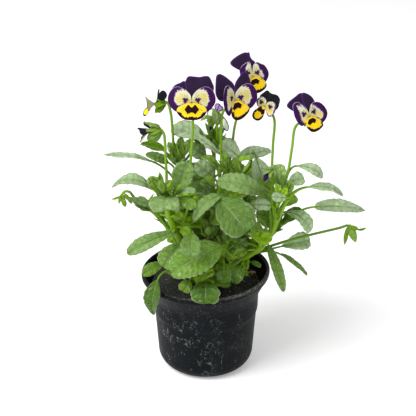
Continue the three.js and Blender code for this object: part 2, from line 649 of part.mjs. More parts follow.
// How far apart two layers lie along the axis of a bloom to keep their distance when it folds.
function layerDepth(layer, { size, fold }) {
  return layer * petal.layer * Math.hypot(1, fold) / size;
}

// All petals of a bloom follow one dished surface, each in its own layer.
function petals(bloom, part) {
  const frame = bloomFrame(bloom);
  const group = bloom[part] ?? { upper: upperPetals, face: facePetals }[part];
  const lines = petalLines(group, bloom.fold > 0.5 ? petal.foldedColumns : petal.columns);
  const inner = petal.inner[part];
  const shrink = 1 / Math.hypot(1, bloom.fold);
  return plate(lines.length - 1, petal.rows.length - 1, petal.thickness, (i, j) => {
    const line = lines[i];
    const heading = THREE.MathUtils.degToRad(line.heading);
    const out = (line.reach - inner) * petal.rows[j];
    const outwards = new THREE.Vector3(Math.sin(heading), Math.cos(heading), 0);
    const rise = (bloom.fold * shrink - petal.curl * out) * out + layerDepth(line.layer, bloom);
    const slope = bloom.fold - 2 * petal.curl * out;
    const normal = new THREE.Vector3(0, 0, 1).addScaledVector(outwards, -slope);
    const point = outwards.multiplyScalar(inner + out * shrink).setZ(rise);
    return { point: point.applyMatrix4(frame), normal: normal.transformDirection(frame) };
  });
}

// The calyx and the heart of a bloom: a green spindle through it with a star of five sepals.
function calyx(bloom) {
  const frame = bloomFrame(bloom);
  const shrink = 1 / Math.hypot(1, bloom.fold);
  const front = -(petal.thickness / 2 + clearance) / bloom.size;
  const star = layerDepth(sepals.layer, bloom);
  const back = star - leaf.thickness / bloom.size;
  const ring = (tips, z, valleys = tips) => Array.from({ length: 10 }, (_, k) => {
    const angle = k * Math.PI / 5;
    const radius = k % 2 === 0 ? tips : valleys;
    const rise = (radius - valleys) * bloom.fold;
    return new THREE.Vector3(radius * Math.sin(angle), radius * Math.cos(angle), z + rise)
      .applyMatrix4(frame);
  });
  const heart = sepals.heart * shrink;
  const reach = sepals.reach * shrink;
  return loft([
    ring(heart, front), ring(heart, star + clearance),
    ring(reach, star, sepals.valley), ring(reach, back, sepals.valley),
    ...sepals.cup.map(([radius, depth]) => ring(radius, back - depth)),
  ]);
}

// The pointed body of a bud, in front of its calyx.
function budBody(bud) {
  const frame = bloomFrame(bud).scale(new THREE.Vector3(1, 1, 1).divideScalar(bud.size));
  return loft(budShape.map(([share, along]) => Array.from({ length: 6 }, (_, k) => {
    const angle = k * Math.PI / 3;
    const radius = share * bud.thick;
    return new THREE.Vector3(radius * Math.cos(angle), radius * Math.sin(angle), along * bud.long)
      .applyMatrix4(frame);
  })));
}

function flowerStalk(stemCurve, bloom) {
  const frame = bloomFrame(bloom);
  const star = layerDepth(sepals.layer, bloom);
  const hook = stalk.hook.map(([up, out]) => new THREE.Vector3(0, up, star + out).applyMatrix4(frame));
  const points = [stemCurve.getPointAt(bloom.from), ...bloom.stalk.map(place), ...hook];
  return tube(points, stalk.flower, stalk.flowerSides, stalk.flowerSteps);
}

function leafyStem(name, stem) {
  const curve = stemCurveOf(stem);
  const parts = [tube(curve.points, stalk.stem, stalk.stemSides, stalk.stemSteps)];
  stem.leaves.forEach((item) => {
    parts.push(leafBody(curve, item));
    if (item.stipules) parts.push(...stipules(curve, item));
  });
  const borne = [...Object.values(blooms), ...Object.values(buds)].filter((bloom) => bloom.stem === name);
  borne.forEach((bloom) => parts.push(flowerStalk(curve, bloom), calyx(bloom)));
  return joined(parts);
}

function turned(profile, sides) {
  const points = profile.map(([radius, height]) => new THREE.Vector2(radius, height));
  return new THREE.LatheGeometry(points, sides).rotateX(Math.PI / 2);
}

function cylinder(x, y, radius, low, high, sides) {
  const geometry = new THREE.CylinderGeometry(radius, radius, high - low, sides);
  return solidOf(geometry.rotateX(Math.PI / 2).translate(x, y, (low + high) / 2));
}

// The pot's wall from the foot up to the lip, as radius and height, moved inwards by an inset. Its
// rounded bottom edge has a point at each of the turns, in degrees.
function potWall(inset, turns, step) {
  const corner = turns.map((degrees) => {
    const angle = THREE.MathUtils.degToRad(degrees);
    return [
      pot.footRadius + (pot.cornerRadius - inset - pot.footRadius) * Math.sin(angle),
      inset + (pot.cornerHeight - inset) * (1 - Math.cos(angle)),
    ];
  });
  return [...corner, ...[...step, ...pot.neck].map(([radius, height]) => [radius - inset, height])];
}

// The plain inside of the wall, which has no step.
function potInside(inset, turns = [0, 45, 90]) {
  return potWall(inset, turns, pot.step.slice(0, 1));
}

function makePot() {
  const outside = potWall(0, [0, 30, 60, 90], pot.step);
  const inside = potInside(pot.wall).reverse();
  const geometry = turned([[0, 0], ...outside, ...pot.lip, ...inside, [0, pot.wall]], pot.sides);
  const [, [, stepHeight]] = pot.step;
  const spots = geometry.attributes.position;
  for (let k = 0; k < spots.count; k += 1) {
    const share = Math.max(0, (spots.getZ(k) - stepHeight) / (pot.height - stepHeight));
    spots.setZ(k, spots.getZ(k) + pot.warp * spots.getX(k) * share);
  }
  let shell = solidOf(geometry);
  for (let k = 0; k < pot.drainHoles; k += 1) {
    const angle = 2 * Math.PI * (k + 0.5) / pot.drainHoles;
    const [x, y] = [pot.drainCircle * Math.cos(angle), pot.drainCircle * Math.sin(angle)];
    shell = shell.subtract(cylinder(x, y, pot.drainRadius, -1, pot.wall + 1, 6));
  }
  return meshOf('pot', shell, blackPlastic);
}

// The radius of the pot's inner face at a height.
function radiusInside(height) {
  const profile = potInside(pot.wall);
  const above = profile.findIndex(([, z]) => z > height);
  const [[lowRadius, low], [highRadius, high]] = [profile[above - 1], profile[above]];
  return THREE.MathUtils.mapLinear(height, low, high, lowRadius, highRadius);
}

// The soil fills the pot's inside up to its edge and rises in rough rings to a low crown.
function makeSoil() {
  const gap = clearance + soil.shrunk;
  const warped = pot.warp * radiusInside(pot.height - 10);
  const edge = radiusInside(soil.edgeHeight - warped) - gap;
  const random = seeded(soil.seed);
  const rings = potInside(pot.wall + gap, [0, 90])
    .filter(([, height]) => height < soil.edgeHeight - 2)
    .map(([radius, height]) => ({ radius, height, lump: 0 }));
  rings.push({ radius: edge, height: soil.edgeHeight, lump: 0 });
  for (let k = soil.rings - 1; k > 0; k -= 1) {
    const share = k / soil.rings;
    const height = soil.crownHeight - (soil.crownHeight - soil.edgeHeight) * share * share;
    rings.push({ radius: edge * share, height, lump: soil.lump });
  }
  const spots = [[0, 0, rings[0].height]];
  rings.forEach(({ radius, height, lump }) => {
    for (let k = 0; k < soil.sides; k += 1) {
      const angle = 2 * Math.PI * k / soil.sides;
      const rise = lump * (random() - 0.5) * 2;
      spots.push([radius * Math.cos(angle), radius * Math.sin(angle), height + rise]);
    }
  });
  spots.push([0, 0, soil.crownHeight]);
  const id = (ring, k) => 1 + ring * soil.sides + (k % soil.sides);
  const triangles = [];
  for (let k = 0; k < soil.sides; k += 1) {
    triangles.push(0, id(0, k + 1), id(0, k));
    for (let ring = 0; ring + 1 < rings.length; ring += 1) {
      triangles.push(id(ring, k), id(ring, k + 1), id(ring + 1, k + 1));
      triangles.push(id(ring, k), id(ring + 1, k + 1), id(ring + 1, k));
    }
    triangles.push(spots.length - 1, id(rings.length - 1, k), id(rings.length - 1, k + 1));
  }
  let body = closedBody(spots.map((spot) => new THREE.Vector3(...spot)), triangles);
  const bottom = soil.crownHeight - stalk.sunk - clearance;
  Object.values(stems).forEach(({ foot: [x, y] }) => {
    body = body.subtract(cylinder(x, y, soil.hole, bottom, pot.height, 6));
  });
  return meshOf('soil', body, compost);
}

const plant = new THREE.Group();
plant.add(makePot(), makeSoil());
Object.entries(stems).forEach(([name, stem]) => {
  plant.add(meshOf(`stem_${name}`, leafyStem(name, stem), green));
});
Object.entries(blooms).forEach(([name, bloom]) => {
  plant.add(meshOf(`bloom_${name}_upper`, petals(bloom, 'upper'), violet));
  plant.add(meshOf(`bloom_${name}_face`, petals(bloom, 'face'), cream));
});
Object.entries(buds).forEach(([name, bud]) => {
  plant.add(meshOf(`bud_${name}`, budBody(bud), bud.finish));
});

export default plant;
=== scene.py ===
# A viola in flower in a black nursery pot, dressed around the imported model. Metres, +Z is up.
# The tables give lengths in millimetres, or in metres where mm stands beside them, and angles in
# degrees, apart from phases and the turns of tufts and crumbs, which are radians.
import json
import math
import random
import bpy
import bmesh
import numpy as np
from mathutils import Matrix, Vector, geometry, noise
from types import SimpleNamespace

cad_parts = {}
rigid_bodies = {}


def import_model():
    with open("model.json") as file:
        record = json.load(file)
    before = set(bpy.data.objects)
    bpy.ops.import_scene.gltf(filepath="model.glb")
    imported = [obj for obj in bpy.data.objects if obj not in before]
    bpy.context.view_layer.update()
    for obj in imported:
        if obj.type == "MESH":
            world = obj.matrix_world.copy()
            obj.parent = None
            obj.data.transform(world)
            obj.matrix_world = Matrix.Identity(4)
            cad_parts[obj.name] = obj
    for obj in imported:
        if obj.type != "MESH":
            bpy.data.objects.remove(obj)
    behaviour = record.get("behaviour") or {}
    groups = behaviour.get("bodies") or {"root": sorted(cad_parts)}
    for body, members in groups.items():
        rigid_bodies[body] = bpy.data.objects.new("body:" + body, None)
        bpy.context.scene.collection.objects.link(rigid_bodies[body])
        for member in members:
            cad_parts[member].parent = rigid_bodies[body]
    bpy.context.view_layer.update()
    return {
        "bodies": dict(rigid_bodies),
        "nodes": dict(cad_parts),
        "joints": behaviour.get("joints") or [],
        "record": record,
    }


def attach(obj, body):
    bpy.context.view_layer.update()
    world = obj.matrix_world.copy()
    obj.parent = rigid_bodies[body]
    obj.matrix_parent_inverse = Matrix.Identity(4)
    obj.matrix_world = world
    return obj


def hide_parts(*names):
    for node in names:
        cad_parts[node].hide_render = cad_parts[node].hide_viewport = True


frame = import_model()
mm = 0.001

# The plant is laid out as it is seen from the front and a little above. A place is how far
# across and down it lies in a square view 416 units wide, and how many millimetres it lies
# behind the pot's axis. One unit is 0.911 mm where the line of sight meets that axis. The
# camera stands away from its aim by so many metres.
sight = {
    "fall": math.radians(25.3),
    "away": 1.0,
    "unit": 0.911 * mm,
    "middle": 208,
    "width": 416,
    "aim": Vector((0.0022, 0, 0.159)),
    "sensor": 36,
    "nearest": 0.05,
}

# The ways that lead into the view and up it, and where the camera stands.
ahead = Vector((0, math.cos(sight["fall"]), -math.sin(sight["fall"])))
upward = Vector((0, math.sin(sight["fall"]), math.cos(sight["fall"])))
eye = sight["aim"] - ahead * sight["away"]


# A place of the view in the frame's metres.
def place(spot):
    across, down, behind = spot
    scale = sight["unit"] / sight["away"]
    ray = ahead + Vector((1, 0, 0)) * ((across - sight["middle"]) * scale)
    ray += upward * ((sight["middle"] - down) * scale)
    return eye + ray * ((behind * mm - eye.y) / ray.y)


# One socket in a node tree. Arithmetic on it adds the Math nodes that it stands for.
class Wire:
    def __init__(self, graph, socket):
        self.graph = graph
        self.socket = socket

    def math(self, operation, *values):
        return self.graph.node("ShaderNodeMath", {"operation": operation}, dict(enumerate(values)))

    def out(self, name):
        return Wire(self.graph, pick(self.socket.node.outputs, name))

    def smooth(self, low, high):
        return self.graph.node(
            "ShaderNodeMapRange", {"interpolation_type": "SMOOTHSTEP"},
            {"Value": self, "From Min": low, "From Max": high, "To Min": 0.0, "To Max": 1.0})

    def clamped(self):
        return self.math("MINIMUM", self.math("MAXIMUM", self, 0.0), 1.0)

    def __neg__(self):
        return self.math("MULTIPLY", self, -1.0)


def operator(operation, reflected):
    def method(self, other):
        values = (other, self) if reflected else (self, other)
        return self.math(operation, *values)
    return method


for word, operation in {
    "add": "ADD", "sub": "SUBTRACT", "mul": "MULTIPLY", "truediv": "DIVIDE", "pow": "POWER",
}.items():
    setattr(Wire, f"__{word}__", operator(operation, False))
    setattr(Wire, f"__r{word}__", operator(operation, True))

for word in ("sine", "cosine", "absolute", "exponent", "fraction"):
    code = {"fraction": "FRACT"}.get(word, word.upper())
    setattr(Wire, word, lambda self, code=code: self.math(code, self))

for word in ("minimum", "maximum"):
    setattr(Wire, word, lambda self, other, code=word.upper(): self.math(code, self, other))


def pick(sockets, key):
    shown = [socket for socket in sockets if socket.enabled]
    if isinstance(key, int):
        return shown[key]
    return next(socket for socket in shown if socket.name == key)


# A node tree under construction: node() adds one node with its settings and its sockets.
class Graph:
    def __init__(self, tree):
        self.tree = tree

    def node(self, kind, settings=None, sockets=None, output=0):
        made = self.tree.nodes.new(kind)
        for name, value in (settings or {}).items():
            setattr(made, name, value)
        for name, value in (sockets or {}).items():
            socket = pick(made.inputs, name)
            if isinstance(value, Wire):
                self.tree.links.new(value.socket, socket)
            else:
                socket.default_value = value
        return Wire(self, pick(made.outputs, output)) if made.outputs else None

    def vector(self, operation, *values):
        return self.node("ShaderNodeVectorMath", {"operation": operation}, dict(enumerate(values)))

    def scaled(self, vector, factor):
        return self.node(
            "ShaderNodeVectorMath", {"operation": "SCALE"}, {"Vector": vector, "Scale": factor})

    def combined(self, x, y, z):
        return self.node("ShaderNodeCombineXYZ", {}, {"X": x, "Y": y, "Z": z})

    # The three parts of a vector.
    def apart(self, vector):
        split = self.node("ShaderNodeSeparateXYZ", {}, {0: vector})
        return split, split.out("Y"), split.out("Z")

    # Where a spot of the piece is, as Object coordinates.
    def here(self):
        return self.node("ShaderNodeTexCoord", output="Object")

    # A pattern drawn out along Z, the further the smaller the height.
    def stretched(self, vector, height):
        return self.node("ShaderNodeMapping", {}, {"Vector": vector, "Scale": (1.0, 1.0, height)})

    def mix(self, factor, first, second):
        ends = [value if isinstance(value, Wire) else (*value, 1) for value in (first, second)]
        return self.node(
            "ShaderNodeMix", {"data_type": "RGBA"}, {"Factor": factor, "A": ends[0], "B": ends[1]})

    # A colour made lighter or darker by a value.
    def toned(self, colour, value, **others):
        return self.node("ShaderNodeHueSaturation", {}, {"Value": value, "Color": colour, **others})

    # A value that the mesh carries, read in a material or in a shape tree.
    def carried(self, name, vector=False):
        if self.tree.type == "SHADER":
            kind = "Vector" if vector else "Fac"
            return self.node("ShaderNodeAttribute", {"attribute_name": name}, output=kind)
        return self.node(
            "GeometryNodeInputNamedAttribute",
            {"data_type": "FLOAT_VECTOR" if vector else "FLOAT"}, {"Name": name})

    def store(self, geometry, name, value, kind="FLOAT", domain="POINT"):
        return self.node(
            "GeometryNodeStoreNamedAttribute", {"data_type": kind, "domain": domain},
            {"Geometry": geometry, "Name": name, "Value": value})

    def speckle(self, scale, detail=3.0, vector=None):
        return self.node("ShaderNodeTexNoise", {}, {
            "Vector": vector or self.here(), "Scale": scale, "Detail": detail, "Roughness": 0.6,
        })


pathSteps = 12


# A smooth curve through the points, as a row of places evenly spaced along it.
def smoothPath(points, count):
    knots = [Vector(point) for point in points]
    knots = [2 * knots[0] - knots[1], *knots, 2 * knots[-1] - knots[-2]]
    dense = []
    for before, start, end, after in zip(knots, knots[1:], knots[2:], knots[3:]):
        t1 = (start - before).length ** 0.5
        t2 = t1 + (end - start).length ** 0.5
        t3 = t2 + (after - end).length ** 0.5
        for step in range(pathSteps):
            t = t1 + (t2 - t1) * step / pathSteps
            early = before.lerp(start, t / t1)
            middle = start.lerp(end, (t - t1) / (t2 - t1))
            late = end.lerp(after, (t - t2) / (t3 - t2))
            first = early.lerp(middle, t / t2)
            second = middle.lerp(late, (t - t1) / (t3 - t1))
            dense.append(first.lerp(second, (t - t1) / (t2 - t1)))
    dense.append(knots[-2])
    places = np.array(dense)
    lengths = np.r_[0, np.cumsum(np.linalg.norm(np.diff(places, axis=0), axis=1))]
    shares = np.linspace(0, lengths[-1], count)
    return np.stack([np.interp(shares, lengths, places[:, axis]) for axis in range(3)], axis=1)


def pathPoint(path, share):
    stop = share * (len(path) - 1)
    k = min(int(stop), len(path) - 2)
    return Vector(path[k]).lerp(Vector(path[k + 1]), stop - k)


def pathDirection(path, share):
    k = min(max(int(share * (len(path) - 1)), 1), len(path) - 2)
    return (Vector(path[k + 1]) - Vector(path[k - 1])).normalized()


# The way that a leaf's face looks.
def facing(tilt, turn=0):
    lean, yaw = math.radians(tilt), math.radians(turn)
    return Vector((math.sin(yaw), -math.sin(lean) * math.cos(yaw), math.cos(lean) * math.cos(yaw)))


def newTree(name, sizes):
    tree = bpy.data.node_groups.new(name, "GeometryNodeTree")
    tree.interface.new_socket("Geometry", in_out="INPUT", socket_type="NodeSocketGeometry")
    tree.interface.new_socket("Geometry", in_out="OUTPUT", socket_type="NodeSocketGeometry")
    for size, value in sizes.items():
        kind = "NodeSocketInt" if isinstance(value, int) else "NodeSocketFloat"
        socket = tree.interface.new_socket(size, in_out="INPUT", socket_type=kind)
        socket.default_value = value
    return tree


# A mesh of points, or of rows of points joined by edges, with one value of each kind per point.
def markedMesh(name, points, edges, values, faces=()):
    mesh = bpy.data.meshes.new(name)
    mesh.from_pydata([tuple(point) for point in points], edges, faces)
    for key, column in values.items():
        flat = np.array(column, dtype=np.float32)
        isVector = flat.ndim == 2
        attribute = mesh.attributes.new(key, "FLOAT_VECTOR" if isVector else "FLOAT", "POINT")
        attribute.data.foreach_set("vector" if isVector else "value", flat.ravel())
    return mesh


# An object of the scene, at the origin.
def linked(name, data):
    made = bpy.data.objects.new(name, data)
    bpy.context.scene.collection.objects.link(made)
    return made


# What a piece's modifiers make becomes its plain mesh.
def applied(piece):
    shown = piece.evaluated_get(bpy.context.evaluated_depsgraph_get())
    mesh = bpy.data.meshes.new_from_object(shown)
    piece.modifiers.clear()
    piece.data = mesh
    mesh.name = piece.name
    return mesh


# A bmesh shape turned into a mesh.
def meshOf(shape, name):
    mesh = bpy.data.meshes.new(name)
    shape.to_mesh(mesh)
    shape.free()
    return mesh


# Runs a shape tree on a mesh and keeps the result as a plain mesh, without empty material slots.
def grown(name, mesh, tree, sizes=None):
    piece = linked(name, mesh)
    modifier = piece.modifiers.new("shape", "NODES")
    modifier.node_group = tree
    inputs = [item for item in tree.interface.items_tree if item.in_out == "INPUT"]
    identifiers = {item.name: item.identifier for item in inputs}
    for key, value in (sizes or {}).items():
        modifier[identifiers[key]] = value
    result = applied(piece)
    while len(result.materials) > 1 and result.materials[0] is None:
        result.materials.pop(index=0)
    return piece


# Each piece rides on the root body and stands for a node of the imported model.
def finished(piece, node):
    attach(piece, "root")
    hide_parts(node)


def joinedPiece(name, pieces):
    for piece in bpy.context.view_layer.objects:
        piece.select_set(piece in pieces)
    bpy.context.view_layer.objects.active = pieces[0]
    bpy.ops.object.join()
    pieces[0].name = name
    pieces[0].data.name = name
    return pieces[0]


leafForm = {
    "shape": {
        "Rows": 41, "Columns": 13, "Thickness": 0.36 * mm, "Groove": 0.5 * mm, "Pillow": 0.45 * mm,
        "Tooth depth": 0.09, "Sweep": 1.1, "Buckle": 4.0 * mm, "Crinkle": 1.0 * mm,
    },
    "curlFrom": 0.6, "rim": 14, "buckleScale": 110.0, "crinkleScale": 380.0, "toothLength": 5.5,
    "stalk": 0.9, "stalkSamples": 14, "stalkFoot": 1.25, "stalkRise": 0.2, "stalkArrival": 0.4,
    "stalkLime": (0.35, 0.5), "rib": (0.04, 0.86), "ribSamples": 12, "ribDepth": 0.3 * mm,
    "ribThick": 0.85,
}
# Sepals and stipules have plainer blades, and so have the leaves inside the plant.
smallForm = {"Rows": 11, "Columns": 5, "Tooth depth": 0.0, "Buckle": 0.0, "Crinkle": 0.0}
shadedForm = {"Rows": 19, "Columns": 9}


# Blades on points: each point carries the frame and the sizes of its own leaf, stipule or sepal.
def bladeTree(skins):
    tree = newTree("blades", leafForm["shape"])
    graph = Graph(tree)
    given = graph.node("NodeGroupInput")
    grid = graph.node("GeometryNodeMeshGrid", {}, {
        "Size X": 2.0, "Size Y": 1.0,
        "Vertices X": given.out("Columns"), "Vertices Y": given.out("Rows"),
    })
    across, along = graph.apart(graph.node("GeometryNodeInputPosition"))[:2]
    sheet = graph.store(grid, "across", across)
    sheet = graph.store(sheet, "along", along + 0.5)
    sheet = graph.store(sheet, "blade", grid.out("UV Map"), "FLOAT2", "CORNER")
    placed = graph.node("GeometryNodeInstanceOnPoints", {}, {"Points": given, "Instance": sheet})
    blades = graph.node("GeometryNodeRealizeInstances", {}, {"Geometry": placed})

    own = graph.carried
    v, u, length, width = [own(name) for name in ("across", "along", "length", "width")]
    side = v.absolute()
    taper = own("baseTaper") * (1 - u) + own("tipRound") * u
    swell = ((u ** own("broadest")) * math.pi).sine().maximum(0.0) ** taper
    lobes = (u * own("teeth") * math.pi).sine().absolute()
    toothed = u.smooth(0.1, 0.3) * (1 - u.smooth(0.92, 1.0))
    notch = 1 - given.out("Tooth depth") * (side ** 4) * toothed * (1 - lobes)
    x = v * (width * 0.5) * swell * notch
    w = u + given.out("Sweep") * (side ** 1.3) * u * (1 - u) * (width / length)
    slope = own("arch") * 4 * (1 - 2 * w) / length
    drop = own("curl") * ((w - leafForm["curlFrom"]).maximum(0.0) ** 2)
    bow = own("arch") * 4 * w * (1 - w) - drop
    flat = graph.combined(x, w * length, own("phase"))
    buckles = graph.speckle(leafForm["buckleScale"], 1.0, flat) - 0.5
    crinkles = graph.speckle(leafForm["crinkleScale"], 1.0, flat) - 0.5
    relief = own("cup") * x.absolute()
    relief += given.out("Pillow") * lobes * side * (1 - side) * 4 * toothed
    relief += own("wave") * (u * 8 + own("phase")).sine() * v * side * (width * 0.5)
    relief += (-given.out("Groove")) * (-((side * 7) ** 2)).exponent() * (1 - u)
    relief += given.out("Buckle") * buckles * (side * 3).minimum(1.0)
    relief += given.out("Crinkle") * crinkles
    angle = own("twist") * (u - 0.25)
    thick = given.out("Thickness") * 0.5 * (1 - side ** 8)
    thick = thick * (u * leafForm["rim"]).minimum(1.0) * ((1 - u) * leafForm["rim"]).minimum(1.0)

    def face(sign):
        level = relief + thick * sign
        across = x * angle.cosine() - level * angle.sine()
        lift = bow + x * angle.sine() + level * angle.cosine()
        along = w * length - thick * slope * sign
        spot = own("root", True)
        for axis, amount in (("axisAcross", across), ("axisAlong", along), ("axisLift", lift)):
            spot = graph.vector("ADD", spot, graph.scaled(own(axis, True), amount))
        return graph.node("GeometryNodeSetPosition", {}, {"Geometry": blades, "Position": spot})

    under = graph.node("GeometryNodeFlipFaces", {}, {"Mesh": face(-1)})
    closeTree(graph, [face(1), graph.store(under, "skin", 1.0, domain="FACE")], skins)
    return tree


# The end of each tree: its sheets closed into one mesh. Each face takes the skin of its number.
def closeTree(graph, sheets, skins):
    joining = graph.node("GeometryNodeJoinGeometry")
    for sheet in sheets:
        graph.tree.links.new(sheet.socket, joining.socket.node.inputs[0])
    closed = graph.node("GeometryNodeMergeByDistance", {}, {"Geometry": joining, "Distance": 1e-6})
    smooth = graph.node("GeometryNodeSetShadeSmooth", {}, {"Geometry": closed})
    whole = graph.node("GeometryNodeRealizeInstances", {}, {"Geometry": smooth})
    for number, material in enumerate(skins):
        offset = (graph.carried("skin") - number).absolute()
        chosen = offset.math("LESS_THAN", offset, 0.5)
        whole = graph.node(
            "GeometryNodeSetMaterial", {}, {"Geometry": whole, "Selection": chosen, "Material": material})
    graph.node("NodeGroupOutput", {}, {"Geometry": whole})


# Round stalks along rows of points, each as thick as its points say.
def stalkTree(material):
    tree = newTree("stalks", {"Sides": 10})
    graph = Graph(tree)
    given = graph.node("NodeGroupInput")
    curve = graph.node("GeometryNodeMeshToCurve", {}, {"Mesh": given})
    ring = graph.node(
        "GeometryNodeCurvePrimitiveCircle", {}, {"Resolution": given.out("Sides"), "Radius": 1.0})
    tube = graph.node("GeometryNodeCurveToMesh", {}, {
        "Curve": curve, "Profile Curve": ring, "Scale": graph.carried("thick"), "Fill Caps": True,
    })
    closeTree(graph, [tube], [material])
    return tree


# A petal's sheet gets its thickness, which fades out towards its rim.
def petalTree(name, skins):
    tree = newTree(name, {"Thickness": flowerForm["thickness"], "Fade": flowerForm["fade"]})
    graph = Graph(tree)
    given = graph.node("NodeGroupInput")
    full = (graph.carried("edge") / given.out("Fade")).clamped() ** 0.5
    apart = graph.scaled(graph.node("GeometryNodeInputNormal"), full * given.out("Thickness") * 0.5)
    front = graph.node("GeometryNodeSetPosition", {}, {"Geometry": given, "Offset": apart})
    front = graph.store(front, "skin", graph.carried("kind") * 2, domain="FACE")
    away = graph.scaled(apart, -1.0)
    back = graph.node("GeometryNodeSetPosition", {}, {"Geometry": given, "Offset": away})
    back = graph.node("GeometryNodeFlipFaces", {}, {"Mesh": back})
    back = graph.store(back, "skin", graph.carried("kind") * 2 + 1, domain="FACE")
    closeTree(graph, [front, back], skins)
    return tree


# Crumbs strewn on a surface, turned and sized at random.
def crumbTree(crumbs, material):
    tree = newTree("crumbs", {"Density": 1.0, "Smallest": 0.5, "Largest": 1.6, "Seed": 3})
    graph = Graph(tree)
    given = graph.node("NodeGroupInput")
    strewn = graph.node("GeometryNodeDistributePointsOnFaces", {}, {
        "Mesh": given, "Density": given.out("Density"), "Seed": given.out("Seed"),
    })
    source = graph.node("GeometryNodeCollectionInfo", {}, {
        "Collection": crumbs, "Separate Children": True, "Reset Children": True,
    })
    turn = graph.node(
        "FunctionNodeRandomValue", {"data_type": "FLOAT_VECTOR"},
        {"Min": (0, 0, 0), "Max": soil["crumbTurn"], "Seed": given.out("Seed")})
    draw = graph.node(
        "FunctionNodeRandomValue", {"data_type": "FLOAT"},
        {"Min": 0.0, "Max": 1.0, "Seed": given.out("Seed")})
    scale = given.out("Smallest") + (given.out("Largest") - given.out("Smallest")) * draw ** 3
    placed = graph.node("GeometryNodeInstanceOnPoints", {}, {
        "Points": strewn, "Instance": source, "Pick Instance": True, "Rotation": turn, "Scale": scale,
    })
    placed = graph.store(placed, "tone", draw, domain="INSTANCE")
    crumbs = graph.node("GeometryNodeRealizeInstances", {}, {"Geometry": placed})
    closeTree(graph, [crumbs], [material])
    return tree


# A material whose colour, roughness and bump come from a function of its own.
def skin(name, paint, uniform=None):
    made = bpy.data.materials.new(name)
    made.use_nodes = True
    made.node_tree.nodes.clear()
    graph = Graph(made.node_tree)
    shader = graph.node("ShaderNodeBsdfPrincipled", {}, uniform)
    for socket, wire in paint(graph).items():
        graph.tree.links.new(wire.socket, shader.socket.node.inputs[socket])
    graph.node("ShaderNodeOutputMaterial", {}, {"Surface": shader})
    return made


# What a paint gives its skin. The height is that of its bumps.
def coat(graph, colour, roughness, height, strength, distance):
    bump = graph.node(
        "ShaderNodeBump", {}, {"Height": height, "Strength": strength, "Distance": distance})
    return {"Base Color": colour, "Roughness": roughness, "Normal": bump}


leafGloss = {
    "Subsurface Weight": 0.15, "Subsurface Radius": (0.3, 0.6, 0.1), "Subsurface Scale": 0.002,
    "Specular IOR Level": 0.3,
}
petalGloss = {
    "Subsurface Weight": 0.05, "Subsurface Radius": (0.6, 0.4, 0.3), "Subsurface Scale": 0.001,
    "Specular IOR Level": 0.04,
}

# Deep and pale are the dark and light ends of a leaf's shade, which is partly painted shade and painted
# light, and lime is partly painted light shining through young leaves. The glint tone is a painted
# highlight, and the vein tone also paints the pale margin with its painted highlight.
leafTones = {
    "deep": (0.036, 0.095, 0.004), "green": (0.145, 0.262, 0.046), "pale": (0.42, 0.53, 0.33),
    "lime": (0.30, 0.52, 0.03), "vein": (0.46, 0.58, 0.30), "under": (0.12, 0.26, 0.02),
    "paintedGlint": (0.44, 0.56, 0.36), "stalk": (0.055, 0.14, 0.001), "freshStalk": (0.20, 0.375, 0.002),
}
leafMarks = {
    "veinWidth": 0.055, "edgeWidth": 0.065, "midribWidth": 0.035, "midribSpread": 0.07,
    "midrib": 0.62, "branch": 0.32, "edge": 0.7, "paintedGlint": 0.28, "under": 0.6,
}


# How close a spot of a blade is to its midrib or to one of its side veins, from 0 to 1.
def veinMask(graph):
    across, along = graph.apart(graph.node("ShaderNodeUVMap", {"uv_map": "blade"}))[:2]
    side = (across * 2 - 1).absolute()
    spacing = ((along * graph.carried("teeth") + 0.5).fraction() - 0.5).absolute()
    fine = leafMarks["veinWidth"] * (1.3 - side)
    branch = (1 - (spacing / fine).clamped()) * (graph.carried("teeth") * 0.4).clamped()
    midrib = 1 - (side / (leafMarks["midribWidth"] + leafMarks["midribSpread"] * (1 - along))).clamped()
    reach = (1 - side.smooth(0.75, 1.0)) * along.smooth(0.02, 0.12)
    return side, along, branch * reach, midrib


